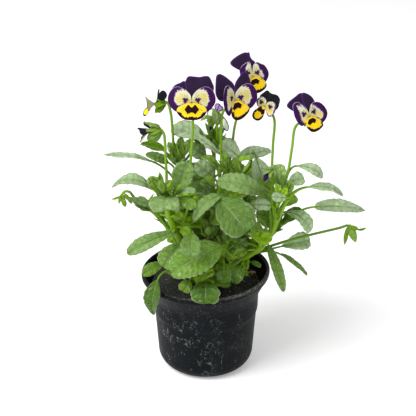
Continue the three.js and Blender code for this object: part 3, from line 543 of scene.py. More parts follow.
def leafPaint(isTop):
    def paint(graph):
        side, along, branch, midrib = veinMask(graph)
        shade, lime = graph.carried("shade"), graph.carried("lime")
        cloud = graph.speckle(60.0, 2.0)
        mottle = graph.speckle(300.0, 4.0).smooth(0.35, 0.65)
        flow = graph.combined(side * 4.0, along * 26.0 - side * 7.0, cloud * 4.0)
        ripples = graph.speckle(1.0, 3.0, flow).smooth(0.35, 0.65)
        quilt = (along * graph.carried("teeth") * math.pi).sine().absolute() * side * (1 - side) * 4
        # Its own tone, with painted shade and painted light: shade mixes from deep to pale, lime towards
        # the fresh green.
        body = graph.mix(shade, leafTones["deep"], leafTones["pale"])
        body = graph.mix((1 - (shade - 0.45).absolute() * 2.2).clamped(), body, leafTones["green"])
        body = graph.mix(lime, body, leafTones["lime"])
        if not isTop:
            body = graph.mix(leafMarks["under"], body, leafTones["under"])
        # Cloud and mottle vary the tone at random; the ripples and quilt add painted shade and sheen,
        # darker along the side veins and creases and paler on the rises of the puckered surface.
        value = 0.45 + cloud * 0.38 + mottle * 0.20 + ripples * 0.36 + quilt * 0.16
        tone = graph.toned(body, value, Hue=0.5 + (cloud - 0.5) * 0.02, Saturation=1.1)
        # A painted highlight: glints painted paler where the ripples and pillows rise.
        paintedGlint = (ripples * 0.6 + quilt * 0.5).smooth(0.6, 1.0)
        paintedGlint = paintedGlint * graph.speckle(90.0, 1.0).smooth(0.5, 0.65)
        tone = graph.mix(paintedGlint * leafMarks["paintedGlint"], tone, leafTones["paintedGlint"])
        # The edge is painted paler, partly as the leaf's pale margin and partly as a painted highlight
        # along its rim; the veins are paler of their own.
        edge = side.smooth(1 - leafMarks["edgeWidth"] * 2, 1.0) * leafMarks["edge"]
        light = (midrib * leafMarks["midrib"]).maximum(branch * leafMarks["branch"]).maximum(edge)
        colour = graph.mix(light, tone, leafTones["vein"])
        veins = midrib * -0.8 + branch * -0.3 if isTop else midrib + branch * 0.7
        height = veins + graph.speckle(620.0, 3.0) * 0.6 + ripples * 0.35
        roughness = 0.22 + mottle * 0.18 if isTop else 0.45 + mottle * 0.2
        return coat(graph, colour, roughness, height, 0.9, 0.0012)
    return paint


def stalkPaint(graph):
    fibre = graph.speckle(900.0, 2.0, graph.stretched(graph.here(), 0.12))
    body = graph.mix(graph.carried("lime"), leafTones["stalk"], leafTones["freshStalk"])
    # A stalk is a little paler by its leaf's shade, which carries that leaf's painted shade and light.
    colour = graph.toned(body, 0.7 + fibre * 0.5 + graph.carried("shade") * 0.1)
    return coat(graph, colour, 0.38 + fibre * 0.25, fibre, 0.4, 0.0003)


petalTones = {
    "night": (0.022, 0.011, 0.033), "dusk": (0.033, 0.007, 0.053), "violet": (0.085, 0.014, 0.19),
    "ink": (0.006, 0.010, 0.010), "lilac": (0.36, 0.20, 0.50), "rim": (0.55, 0.48, 0.62),
    "cream": (0.56, 0.47, 0.145), "white": (0.58, 0.60, 0.46), "throat": (0.42, 0.40, 0.16),
    "yellow": (0.90, 0.60, 0.008), "ochre": (0.52, 0.36, 0.05), "blotch": (0.017, 0.004, 0.009),
    "blotchViolet": (0.035, 0.008, 0.065),
}

# The rim and the middle of a petal's back, and its middle on a faded bloom.
backTones = {
    "upper": ((0.014, 0.009, 0.022), (0.022, 0.018, 0.032), petalTones["lilac"]),
    "side": ((0.08, 0.025, 0.14), (0.58, 0.56, 0.31), (0.72, 0.80, 0.64)),
    "lip": ((0.14, 0.12, 0.13), (0.66, 0.50, 0.10), petalTones["yellow"]),
}

# The eye of a side petal is a star this far across and up, and whiskers run out past it.
sideMarks = {"eye": (5.6, 1.9), "size": 2.3, "whiskers": 26, "reach": (8.5, 9.5)}
lipMarks = {
    "blotch": (-4.3, 10.4), "wide": 3.6, "margin": 3.1, "lobes": 7.0, "whiskers": 30,
    "reach": (11.0, 12.5),
}


# Where a spot of a petal is, in millimetres right of and above the throat and in from the rim,
# with the fine streaks that run out from the throat and the coarser teeth of the markings.
def petalPlaces(graph, downwards=False):
    x, y, rim = graph.apart(graph.carried("spot", True))
    radius = (x * x + y * y) ** 0.5
    heading = x.math("ARCTAN2", x, -y if downwards else y)
    streaks = graph.speckle(3.2, 3.0, graph.combined(heading * 9.0, radius * 0.16, 0.0))
    teeth = graph.speckle(1.0, 2.0, graph.combined(heading * 13.0, radius * 0.12, 4.0)) - 0.5
    return SimpleNamespace(
        side=x.absolute(), y=y, rim=rim, radius=radius, heading=heading, turn=heading.absolute(),
        streaks=streaks, teeth=teeth)


def petalFinish(graph, colour, streaks, strength=0.35):
    grain = graph.speckle(1500.0, 2.0)
    toned = graph.toned(colour, 0.8 + streaks * 0.4)
    return coat(graph, toned, 0.5 + grain * 0.25, streaks + grain * 0.3, strength, 0.0004)


def upperPaint(graph):
    at = petalPlaces(graph)
    glow = (1 - at.rim.smooth(0.1, 1.8)) * 0.7 + (at.streaks - 0.58) * 0.8
    colour = graph.mix(glow.clamped(), petalTones["night"], petalTones["violet"])
    colour = graph.mix((1 - at.rim.smooth(0.05, 0.3)) * 0.3, colour, petalTones["lilac"])
    colour = graph.mix(graph.carried("inky"), colour, petalTones["ink"])
    return petalFinish(graph, colour, at.streaks)


# How wide the violet margin of a side petal is at this heading.
def sideMargin(turn):
    return 0.2 + 5.8 * turn.smooth(0.4, 1.25) - 1.8 * turn.smooth(1.6, 2.2)


def sidePaint(graph):
    at = petalPlaces(graph)
    margin = sideMargin(at.turn) * (1 - graph.carried("inky") * 0.75)
    margin = margin + at.teeth * 4.6 + (at.streaks - 0.5) * 1.6
    inwards = at.radius.smooth(6.5, 9.5)
    violet = (margin - at.rim).smooth(-0.25, 0.25) * inwards
    fringe = (margin + 2.2 + at.teeth * 3.0 - at.rim).smooth(0.0, 1.4) * inwards
    colour = graph.mix(at.radius.smooth(1.0, 4.0), petalTones["throat"], petalTones["cream"])
    colour = graph.mix((1 - (at.y + 6.5).smooth(0.0, 5.0)) * 0.8, colour, petalTones["yellow"])
    upper = (1 - at.turn.smooth(0.3, 1.0)) * at.radius.smooth(2.0, 5.0)
    colour = graph.mix((upper * 0.8).maximum(fringe * 0.85), colour, petalTones["white"])
    across, up = at.side - sideMarks["eye"][0], at.y - sideMarks["eye"][1]
    bearing = across.math("ARCTAN2", across, up)
    star = sideMarks["size"] + (bearing * 3 - 1.2).sine() * 0.55 + (bearing * 7).sine() * 0.45
    star = star + at.teeth * 3.0
    blotch = (star - (across * across + up * up) ** 0.5).smooth(-0.25, 0.25)
    whisker = ((at.turn * sideMarks["whiskers"] + at.teeth * 3.0).sine() - 0.72).smooth(0.0, 0.2)
    whisker = whisker * at.radius.smooth(3.5, 4.5) * at.turn.smooth(0.35, 0.6)
    whisker = whisker * (1 - at.turn.smooth(1.45, 1.8))
    whisker = whisker * (1 - (at.radius + at.teeth * 5.0).smooth(*sideMarks["reach"]))
    colour = graph.mix(blotch.maximum(whisker * 0.75), colour, petalTones["blotchViolet"])
    lit = (1 - (margin - at.rim).smooth(0.0, 1.3)).maximum(1 - at.rim.smooth(0.1, 0.7)) * 0.8
    violetTone = graph.mix(lit + (at.streaks - 0.5) * 0.8, petalTones["dusk"], petalTones["violet"])
    colour = graph.mix(violet, colour, violetTone)
    pale = (1 - at.rim.smooth(0.2, 0.5)) * (1 - at.turn.smooth(0.9, 1.4)) * at.radius.smooth(5.0, 8.0)
    colour = graph.mix(pale * 0.9, colour, petalTones["rim"])
    return petalFinish(graph, colour, at.streaks)


# The lip's blotch lies between a notched top, a toothed bottom and two slanting ends.
def lipPaint(graph):
    at = petalPlaces(graph, True)
    bare = graph.carried("bare")
    fine = (at.streaks - 0.5) * 1.6
    lobes = (at.heading * lipMarks["lobes"]).cosine() * 0.55
    ends = (at.turn + bare * 0.28).smooth(0.75, 1.15)
    margin = (lipMarks["margin"] + at.teeth * 2.6 + lobes + fine) * (1 - ends) - 0.35
    margin = margin * (1 - graph.carried("inky") * 0.15)
    dark = (margin - at.rim).smooth(-0.2, 0.2) * at.radius.smooth(9.5 + bare * 2.0, 12.0 + bare * 2.0)
    colour = graph.mix(at.radius.smooth(1.2, 3.0), petalTones["ochre"], petalTones["yellow"])
    colour = graph.mix((at.side - 3.0).smooth(0.0, 9.0) * 0.25, colour, petalTones["cream"])
    high, low = lipMarks["blotch"]
    wide = lipMarks["wide"]
    top = 2.2 * at.side.smooth(0.2, 2.8) * (1 - bare) + bare * 1.2 - at.y + high + fine * 0.6
    bottom = at.y + low - ((wide - at.side) * 0.42).maximum((at.side - wide) * 1.3)
    bottom = bottom + at.teeth * 3.0
    tips = wide - bare * 1.4 - (at.y + 2.2) * 0.75 - at.side + at.teeth * 1.6
    blotch = top.minimum(bottom).minimum(tips).smooth(-0.25, 0.25)
    whisker = ((at.heading * lipMarks["whiskers"] + at.teeth * 4.0).sine() - 0.78).smooth(0.0, 0.15)
    whisker = whisker * at.radius.smooth(6.0, 8.0) * (1 - at.turn.smooth(0.9, 1.25))
    whisker = whisker * (1 - (at.radius + at.teeth * 6.0).smooth(*lipMarks["reach"]))
    for mark in (blotch, whisker * 0.75, dark):
        colour = graph.mix(mark, colour, petalTones["blotch"])
    return petalFinish(graph, colour, at.streaks)


# The back of a petal, where the front's violet margin shows through, paler.
def backPaint(low, high, faded):
    def paint(graph):
        at = petalPlaces(graph)
        middle = graph.mix(graph.carried("faded"), high, faded)
        colour = graph.mix((at.rim - 1.2 + at.teeth * 3.0).smooth(0.0, 2.0), low, middle)
        return petalFinish(graph, colour, at.streaks, 0.5)
    return paint


def petalSkins(kind, paint):
    back = backPaint(*backTones[kind])
    return [skin(f"{kind}Petal", paint, petalGloss), skin(f"{kind}Back", back, petalGloss)]


# Two tones mixed by one noise, which also gives the roughness and the bumps.
def grainPaint(tones, scale, rough, bump, detail=3.0, limits=None):
    def paint(graph):
        grain = graph.speckle(scale, detail)
        colour = graph.mix(grain.smooth(*limits) if limits else grain, *tones)
        return coat(graph, colour, rough[0] + grain * rough[1], grain, *bump)
    return paint


budFinishes = {
    "violet": dict(
        skin="violetBud", slot="petal_violet", gloss=petalGloss,
        tones=((0.012, 0.004, 0.022), (0.05, 0.014, 0.10))),
    "straw": dict(
        skin="withered", slot="withered", gloss=None, tones=((0.30, 0.22, 0.10), (0.50, 0.42, 0.24))),
    "green": dict(
        skin="capsule", slot="leaf", gloss=leafGloss, tones=((0.10, 0.20, 0.02), (0.20, 0.36, 0.04))),
}


def budSkin(own):
    paint = grainPaint(own["tones"], 500.0, rough=(0.45, 0.3), bump=(0.5, 0.0003), limits=(0.3, 0.7))
    return skin(own["skin"], paint, own["gloss"])


potTones = {
    "plastic": (0.0042, 0.0058, 0.0068), "worn": (0.0075, 0.0095, 0.011), "dustAndHighlight": (0.15, 0.14, 0.125),
    "scuff": (0.30, 0.30, 0.29),
}


def potPaint(graph):
    spot = graph.here()
    across, height = graph.apart(spot)[::2]
    cloud = graph.speckle(30.0, 3.0, spot)
    fine = graph.speckle(520.0, 3.0, spot)
    worn = graph.speckle(75.0, 3.0, spot)
    smear = graph.speckle(120.0, 4.0, graph.stretched(spot, 0.25))
    scratches = graph.speckle(800.0, 2.0, graph.stretched(spot, 0.12))
    body = graph.mix(cloud.smooth(0.4, 0.75), potTones["plastic"], potTones["worn"])
    low = 1 - height.smooth(0.045, 0.085)
    left = 1 - across.smooth(-0.02, 0.02)
    lines = 1 - ((graph.speckle(260.0, 2.0, spot) - 0.5).absolute() * 26).clamped()
    # The scuff patches thin out to the right: partly the wear that the pot shows on its left, and partly
    # painted shade on its right side, away from the key light.
    patches = worn.smooth(0.46, 0.6) * (0.22 + 0.7 * low * left)
    scuffs = fine.smooth(0.58, 0.72) * worn.smooth(0.5, 0.62)
    scuffs = scuffs.maximum(lines * fine.smooth(0.46, 0.6)) * patches
    specks = graph.speckle(900.0, 1.0, spot).smooth(0.72, 0.78) * 0.3
    streaks = scratches.smooth(0.62, 0.72) * smear.smooth(0.5, 0.62) * 0.4
    colour = graph.mix(scuffs.maximum(streaks).maximum(specks), body, potTones["scuff"])
    # The top of the lip is painted paler, partly as dust and partly as a painted highlight where it
    # catches the light.
    lip = height.smooth(0.0945, 0.0968) * (0.12 + fine.smooth(0.4, 0.62) * 0.55)
    colour = graph.mix(lip.clamped(), colour, potTones["dustAndHighlight"])
    return coat(graph, colour, 0.38 + cloud * 0.2 + scuffs * 0.3, smear + fine * 0.4, 0.3, 0.0004)


groundTones = {
    "peat": (0.005, 0.006, 0.005), "moss": (0.086, 0.098, 0.064), "bark": (0.09, 0.075, 0.05),
    "crumb": (0.006, 0.008, 0.005), "grit": (0.34, 0.34, 0.22),
    "straw": ((0.30, 0.19, 0.06), (0.62, 0.45, 0.2)),
    "floor": ((0.88, 0.88, 0.88), (0.92, 0.92, 0.92)),
}


# How much of the compost's paler tone shows: less on the left, as painted shade where the leaves
# overhang it, and more to the right.
def paintedSoilLight(graph):
    across = graph.apart(graph.here())[0]
    return 0.4 + across.smooth(0.0, 0.03) * 0.6


def soilPaint(graph):
    grain = graph.speckle(900.0, 5.0)
    patch = graph.speckle(140.0, 3.0)
    # The compost's paler tone is dimmed on the left, as painted shade.
    colour = graph.mix(grain.smooth(0.45, 0.7) * paintedSoilLight(graph), groundTones["peat"], groundTones["moss"])
    colour = graph.mix(patch.smooth(0.6, 0.75) * 0.4, colour, groundTones["bark"])
    return coat(graph, colour, 0.75 + grain * 0.2, grain, 0.8, 0.0006)


def crumbPaint(graph):
    grain = graph.speckle(1600.0, 3.0)
    light = (graph.carried("tone") * 0.8 + grain * 0.4).clamped() ** 5
    # The grit is dimmed on the left, as painted shade.
    colour = graph.mix(light * paintedSoilLight(graph), groundTones["crumb"], groundTones["grit"])
    return coat(graph, colour, 0.7 + grain * 0.25, grain, 0.7, 0.0004)


strawPaint = grainPaint(groundTones["straw"], 900.0, rough=(0.6, 0.2), bump=(0.6, 0.0004))
floorPaint = grainPaint(groundTones["floor"], 3.0, rough=(0.6, 0.1), bump=(0.05, 0.001), detail=2.0)


# A leaf grows from the point "at" along its stem. Its blade runs from base to tip, and arch lifts
# its middle. Its face looks up, leaning by tilt towards the front and by turn to the right. Shade
# goes from 0, dark, to 1, the pale grey bloom of an old leaf, and is also painted shade and light:
# lower where a leaf lies in shade, higher where it catches the light and the sky's sheen. Lime goes
# from 0 to 1, the fresh green of a young leaf, painted brighter as light shining through it. A row
# may go on with an outline, curl, cup, twist or teeth of its own, a thick or fresh stalk, and
# stipules at its joint.
def leafRow(at, base, tip, width, arch, tilt, shade, lime, **own):
    return dict(
        at=at, base=base, tip=tip, width=width, arch=arch, tilt=tilt, shade=shade, lime=lime, **own)


# Each stem stands at its foot in the soil and follows its route. A shoot leaves it at a share of
# its way, for a spot of the view, with a tuft of a given size.
stems = {
    "left_front": dict(
        foot=(-9, -9), girth=1.3,
        shoots=[(0.97, (163, 190, -42), 1.3), (0.95, (172, 193, -42), 0.8)],
        route=[(180, 240, -18), (169, 216, -26), (165, 196, -30)],
        leaves=[
            leafRow(0.97, (155, 191, -30), (112, 187, -24), 12.5, 14, 28, 0.8, 0,
                stipules=True, tipRound=0.9, twist=0.2, cup=0.15),
            leafRow(0.99, (163, 192, -33), (148, 178, -32), 12, 1, 50, 0.7, 0.5),
            leafRow(0.97, (167, 196, -37), (164, 211, -55), 28, 4, 30, 0.64, 0.03),
            leafRow(0.95, (177, 191, -33), (187, 162, -30), 20, -1, 70, 0.58, 0.03),
            leafRow(0.93, (177, 194, -38), (196, 191, -47), 9, 2, 18, 0.75, 0),
            leafRow(0.86, (179, 198, -38), (195, 208, -50), 13, 2, 40, 0.3, 0.2, stipules=True),
            leafRow(0.45, (178, 231, -22), (127, 254, -40), 14.5, 6, 45, 0.62, 0.08,
                broadest=1.35, tipRound=0.4, baseTaper=0.5),
            leafRow(0.3, (191, 233, -46), (191, 257, -64), 19, 3, 50, 0.27, 0.02),
            leafRow(0.3, (181, 244, -34), (163, 267, -46), 21, 2, 50, 0.22, 0.15),
            leafRow(0.7, (187, 186, -14), (213, 191, -18), 12, 2, 40, 0.1, 0),
        ],
    ),
    "far_left": dict(
        foot=(-17, 4),
        route=[(172, 234, -3), (158, 216, -7), (145, 206, -10)],
        leaves=[
            leafRow(0.6, (157, 213, -12), (126, 198, -16), 8, 4, 22, 0.75, 0.1),
            leafRow(0.75, (151, 207, -10), (137, 198, -4), 9, 1, 60, 0.5, 0.3, stipules=True),
        ],
    ),
    "back_left": dict(
        foot=(-8, 14),
        shoots=[(0.97, (184, 157, 13), 1.25), (0.9, (176, 158, 16), 0.9)],
        route=[(186, 206, 22), (179, 172, 26), (178, 154, 27)],
        leaves=[
            leafRow(0.6, (151, 161, 14), (103, 155, 4), 11, 3, 12, 1, 0,
                stipules=True, twist=0, cup=0.02, curl=0, tipRound=0.8, teeth=1),
            leafRow(0.9, (167, 153, 20), (141, 143, 12), 14, 2, -52, 0.6, 0.7),
            leafRow(0.75, (169, 163, 22), (146, 154, 14), 10, 2, 45, 0.55, 0.1),
            leafRow(0.97, (183, 155, 22), (193, 138, 16), 9, 1, 45, 1, 0.65, baseTaper=0.8, tipRound=0.9),
            leafRow(0.99, (180, 153, 24), (181, 136, 24), 8, 0, 45, 1, 0.6, tipRound=0.9),
            leafRow(0.97, (175, 156, 22), (168, 142, 18), 8, 0, 45, 1, 0.55, tipRound=0.9),
            leafRow(0.8, (188, 166, 16), (199, 174, 6), 16, 2, 50, 0.5, 0.35),
            leafRow(0.5, (176, 186, 12), (168, 188, 0), 12, 2, 50, 0.3, 0.2),
        ],
    ),
    "centre": dict(
        foot=(2, -2),
        shoots=[
            (0.95, (240, 171, -24), 1.2), (0.97, (227, 167, -19), 1.0),
            (0.5, (222, 205, -24), 0.9), (0.4, (206, 232, -30), 1.0)],
        route=[(209, 240, -6), (214, 212, -10), (221, 184, -10), (227, 168, -8)],
        leaves=[
            leafRow(0.7, (226, 195, -32), (193, 221, -48), 13, 10, 50, 0.6, 0.02,
                stipules=True, twist=0.3, turn=-30),
            leafRow(0.6, (218, 198, -40), (247, 232, -56), 34, 4, 55, 0.09, 0.06),
            leafRow(0.55, (225, 200, -30), (213, 214, -42), 17, 2, 55, 0.3, 0.1),
            leafRow(0.93, (221, 155, -4), (193, 133, 2), 8, 1, 40, 1.05, 0),
            leafRow(0.97, (240, 158, -2), (221, 142, 4), 17, 1, 42, 1.08, 0),
            leafRow(0.98, (233, 166, -14), (252, 158, -16), 10, 2, 10, 0.7, 0.75, tipRound=0.9),
            leafRow(0.99, (226, 165, -13), (222, 154, -15), 7, 0, 70, 0.6, 0.6, tipRound=0.9),
            leafRow(0.85, (218, 172, -14), (201, 157, -18), 13, 4, 15, 0.5, 0.3),
            leafRow(0.8, (214, 178, -4), (196, 163, 0), 16, 1, 50, 0.78, 0.05),
            leafRow(0.75, (222, 178, 2), (240, 172, 8), 15, 2, 45, 0.6, 0.1),
            leafRow(0.5, (226, 218, 4), (212, 232, 0), 20, 2, 45, 0.15, 0.3),
            leafRow(0.65, (212, 190, -14), (204, 178, -12), 14, 2, 50, 0.3, 0.3),
            leafRow(0.6, (210, 196, 0), (196, 188, 4), 17, 2, 40, 0.2, 0.1),
            leafRow(0.45, (228, 212, 6), (243, 202, 10), 19, 2, 45, 0.3, 0.3),
            leafRow(0.3, (216, 228, -16), (204, 236, -26), 13, 2, 50, 0.1, 0.1),
        ],
    ),
    "front": dict(
        foot=(8, -15),
        shoots=[(0.9, (233, 258, -36), 0.9), (0.5, (206, 272, -38), 0.8)],
        route=[(221, 262, -24), (225, 250, -28), (226, 243, -29)],
        leaves=[
            leafRow(0.97, (223, 246, -35), (170, 273, -60), 31, 4, 50, 0.44, 0.03),
            leafRow(0.4, (224, 262, -38), (224, 284, -48), 13, 2, 60, 0, 0.08),
            leafRow(0.5, (242, 264, -32), (233, 283, -42), 13, 2, 60, 0, 0.1),
            leafRow(0.9, (232, 240, -33), (246, 248, -42), 12, 2, 50, 0, 0.05),
        ],
    ),
    "right": dict(
        foot=(13, -6),
        shoots=[(0.97, (284, 187, -34), 1.0), (0.85, (277, 193, -34), 1.1), (0.5, (262, 236, -30), 0.8)],
        route=[(262, 246, -18), (274, 228, -20), (277, 207, -20), (282, 190, -20)],
        leaves=[
            leafRow(0.6, (261, 193, -32), (217, 181, -38), 19, 10, 50, 0.6, 0),
            leafRow(0.6, (258, 222, -28), (256, 235, -34), 12, 1, 60, 0.5, 0.2),
            leafRow(0.5, (252, 234, -34), (272, 240, -42), 12, -2, 60, 0.7, 0.9),
            leafRow(0.8, (272, 206, -28), (253, 205, -38), 12.5, 2, 50, 1.1, 0.05, stipules=True),
            leafRow(0.88, (287, 198, -46), (272, 197, -50), 10, 0, 45, 0.95, 0.1),
            leafRow(0.93, (279, 186, -26), (275, 165, -25), 18, 0, 70, 0.8, 0.35),
            leafRow(0.97, (288, 183, -17), (304, 178, -15), 14, 1, 40, 0.95, 0.1),
            leafRow(0.97, (285, 195, -27), (291, 181, -26), 11, 0, 45, 1, 0.6),
            leafRow(0.99, (296, 166, -14), (323, 177, -18), 10, 9.5, 48, 1, 0,
                broadest=0.95, tipRound=0.35),
            leafRow(0.75, (308, 187, -17), (343, 196, -12), 9.5, 7, 35, 0.95, 0,
                stipules=True, thick=2.7, fresh=0.9),
            leafRow(0.55, (268, 214, -6), (255, 198, -2), 18, 2, 45, 0.45, 0.2),
            leafRow(0.75, (270, 190, -10), (259, 178, -8), 15, 2, 50, 0.6, 0.3),
            leafRow(0.7, (275, 206, -4), (262, 187, 0), 17, 2, 50, 0.3, 0.2),
            leafRow(0.9, (280, 198, -42), (276, 183, -44), 7, 1, 50, 0.6, 0.85, tipRound=0.9),
            leafRow(0.9, (282, 198, -42), (287, 187, -43), 6, 1, 50, 0.6, 0.9, tipRound=0.9),
            leafRow(0.5, (272, 228, -6), (260, 207, -2), 19, 2, 50, 0.2, 0.2),
            leafRow(0.6, (284, 206, -8), (296, 196, -4), 12, 2, 40, 0.5, 0.4),
            leafRow(0.35, (262, 236, -8), (240, 222, -2), 18, 2, 40, 0.25, 0.1),
        ],
    ),
    "right_low": dict(
        foot=(17, 6),
        route=[(252, 252, 3), (268, 238, 4), (284, 222, 4)],
        leaves=[
            leafRow(0.98, (314, 207, 2), (365, 211, 10), 14, 5, 38, 1, 0,
                baseTaper=0.5, broadest=0.75, tipRound=1.0, thick=1.3, fresh=0.8),
            leafRow(0.85, (286, 212, -6), (311, 231, -16), 14.5, 9, 30, 0.95, 0.12,
                stipules=True, broadest=1.1, tipRound=0.45, baseTaper=0.6),
            leafRow(0.9, (283, 215, 4), (306, 213, 2), 9, 4, 20, 0, 0.1),
            leafRow(0.45, (279, 247, -6), (310, 240, -2), 18, 1, 50, 0.95, 0.1,
                broadest=1.3, tipRound=0.35, turn=-15),
            leafRow(0.4, (268, 244, -10), (284, 292, -18), 10.5, 5, 50, 0.3, 0.05,
                broadest=0.9, tipRound=0.5, baseTaper=0.55),
            leafRow(0.35, (280, 254, 6), (307, 275, 12), 7.5, 3, 25, 0.3, 0.1,
                tipRound=0.35, baseTaper=0.5, twist=0, cup=0.05, curl=0),
            leafRow(0.1, (250, 262, -6), (261, 267, -12), 6, 1, 30, 0.3, 0.3),
        ],
    ),
    "rosette": dict(
        foot=(-7, -20),
        route=[(193, 276, -28), (190, 271, -30)],
        leaves=[
            leafRow(0.95, (165, 263, -22), (142, 275, -26), 12, 2, 40, 0.45, 0.1),
            leafRow(0.9, (158, 279, -42), (153, 315, -50), 18, 4, 60, 0, 0.05, turn=-30, tipRound=0.95),
            leafRow(0.6, (206, 281, -46), (205, 304, -66), 27, 3, 50, 0, 0.07),
            leafRow(0.8, (211, 269, -36), (193, 278, -42), 17, 1, 50, 0.1, 0.5),
            leafRow(0.7, (190, 280, -42), (183, 292, -50), 13, 2, 60, 0.12, 0.3),
        ],
    ),
    "back_centre": dict(
        foot=(0, 19), girth=0.9,
        shoots=[(0.95, (206, 142, 14), 1.0), (0.97, (217, 140, 12), 1.0)],
        route=[(210, 215, 28), (213, 180, 30), (214, 158, 28), (213, 142, 25)],
        leaves=[
            leafRow(0.5, (209, 189, 30), (191, 177, 22), 19, 2, 45, 0.12, 0.3),
            leafRow(0.85, (206, 158, 20), (190, 146, 14), 17, 2, 45, 0.7, 0.1),
            leafRow(0.9, (214, 148, 20), (203, 138, 14), 12, 2, 50, 0.5, 0.6),
            leafRow(0.95, (208, 141, 18), (171, 129, 26), 20, 4, 30, 1, 0),
            leafRow(0.8, (207, 167, 42), (196, 168, 68), 18, 3, -20, 0.35, 0.1),
            leafRow(0.7, (220, 172, 40), (223, 166, 68), 17, 3, -20, 0.4, 0),
            leafRow(0.97, (216, 150, 24), (224, 136, 30), 15, 1, 30, 0.8, 0.1),
            leafRow(0.5, (205, 195, 46), (208, 190, 84), 22, 4, -20, 0.3, 0),
        ],
    ),
    "back_right": dict(
        foot=(12, 17),
        route=[(234, 226, 26), (246, 196, 30), (250, 172, 28)],
        leaves=[
            leafRow(0.97, (236, 158, 18), (271, 151, 26), 16, 2, 38, 1.12, 0, turn=-28),
            leafRow(0.7, (244, 203, 26), (254, 190, 20), 18, 2, 45, 0.15, 0.3),
            leafRow(0.8, (243, 186, 26), (256, 176, 18), 16, 2, 45, 0.25, 0.4),
            leafRow(0.9, (256, 157, 12), (265, 190, 4), 20, 3, 60, 0.88, 0),
            leafRow(0.8, (256, 178, 44), (272, 182, 70), 20, 3, -20, 0.4, 0),
            leafRow(0.6, (252, 196, 46), (262, 194, 84), 22, 4, -25, 0.35, 0.1, stipules=True),
            leafRow(0.4, (242, 216, 40), (248, 218, 80), 20, 6, -20, 0.3, 0),
        ],
    ),
    "far_back": dict(
        foot=(-14, 23),
        route=[(193, 226, 40), (187, 198, 46), (184, 176, 48)],
        leaves=[
            leafRow(0.97, (182, 172, 56), (181, 163, 84), 19, 3, -20, 0.45, 0),
            leafRow(0.8, (180, 188, 54), (174, 186, 84), 20, 3, -25, 0.35, 0.1),
            leafRow(0.6, (182, 205, 44), (170, 206, 66), 18, 4, -10, 0.4, 0.1, stipules=True),
            leafRow(0.5, (196, 210, 54), (204, 212, 92), 22, 5, -20, 0.3, 0),
        ],
    ),
}

# A stem goes on down into the soil, stands upright for a little, and is thicker at its joints.
stemForm = {
    "radius": 3.2, "tipRadius": 1.7, "knot": 0.15, "knotSpread": 40, "samples": 90, "upright": 6,
    "sunk": 5, "shoot": (1.4, 1.2, 1), "lime": 0.8, "shootLime": 0.9,
}


# The way of a stem, from below the soil to its tip.
def stemPath(stem):
    x, y = stem["foot"]
    low = [-stemForm["sunk"], 0, stemForm["upright"]]
    rising = [Vector((x, y, soil["crownHeight"] + above)) * mm for above in low]
    return smoothPath([*rising, *[place(spot) for spot in stem["route"]]], stemForm["samples"])


plainBlade = {
    "arch": 0, "curl": 0, "cup": 0.1, "teeth": 0, "wave": 0, "phase": 0, "twist": 0,
    "shade": 0.4, "lime": 0.4, "broadest": 0.82, "baseTaper": 0.85, "tipRound": 0.5,
}
# A leaf draws its own from these, and then keeps what its row gives.
leafRanges = {
    "curl": (0, 6), "cup": (0.1, 0.38), "wave": (0.05, 0.16), "phase": (0, 6.3),
    "twist": (-0.3, 0.3), "shade": (0.3, 0.7), "lime": (0, 0.35),
}


# One blade, described by where it starts, where it ends and which way its face looks.
def blade(start, end, face, **form):
    along = end - start
    length = along.length
    along.normalize()
    lift = (face - along * face.dot(along)).normalized()
    frame = dict(root=start, axisAlong=along, axisLift=lift, axisAcross=along.cross(lift), length=length)
    return {**plainBlade, **frame, **form}


def bladePiece(name, blades, tree, sizes=None):
    values = {key: [item[key] for item in blades] for key in blades[0]}
    return grown(name, markedMesh(name, values["root"], [], values), tree, sizes)


# Rows of points with a thickness each become one mesh for the stalk tree.
def stalkPiece(name, rows, tree, sizes=None):
    points, edges, values = [], [], {"thick": [], "shade": [], "lime": []}
    for row in rows:
        first = len(points)
        points += [Vector(point) for point in row["points"]]
        edges += [(k, k + 1) for k in range(first, len(points) - 1)]
        values["thick"] += list(row["thick"])
        for key in ("shade", "lime"):
            values[key] += [row.get(key, 0.4)] * len(row["points"])
    return grown(name, markedMesh(name, points, edges, values), tree, sizes)


# Rows give places of the view, and the leaves inside the plant give places in metres.
def spotOf(value):
    return value.copy() if isinstance(value, Vector) else place(value)


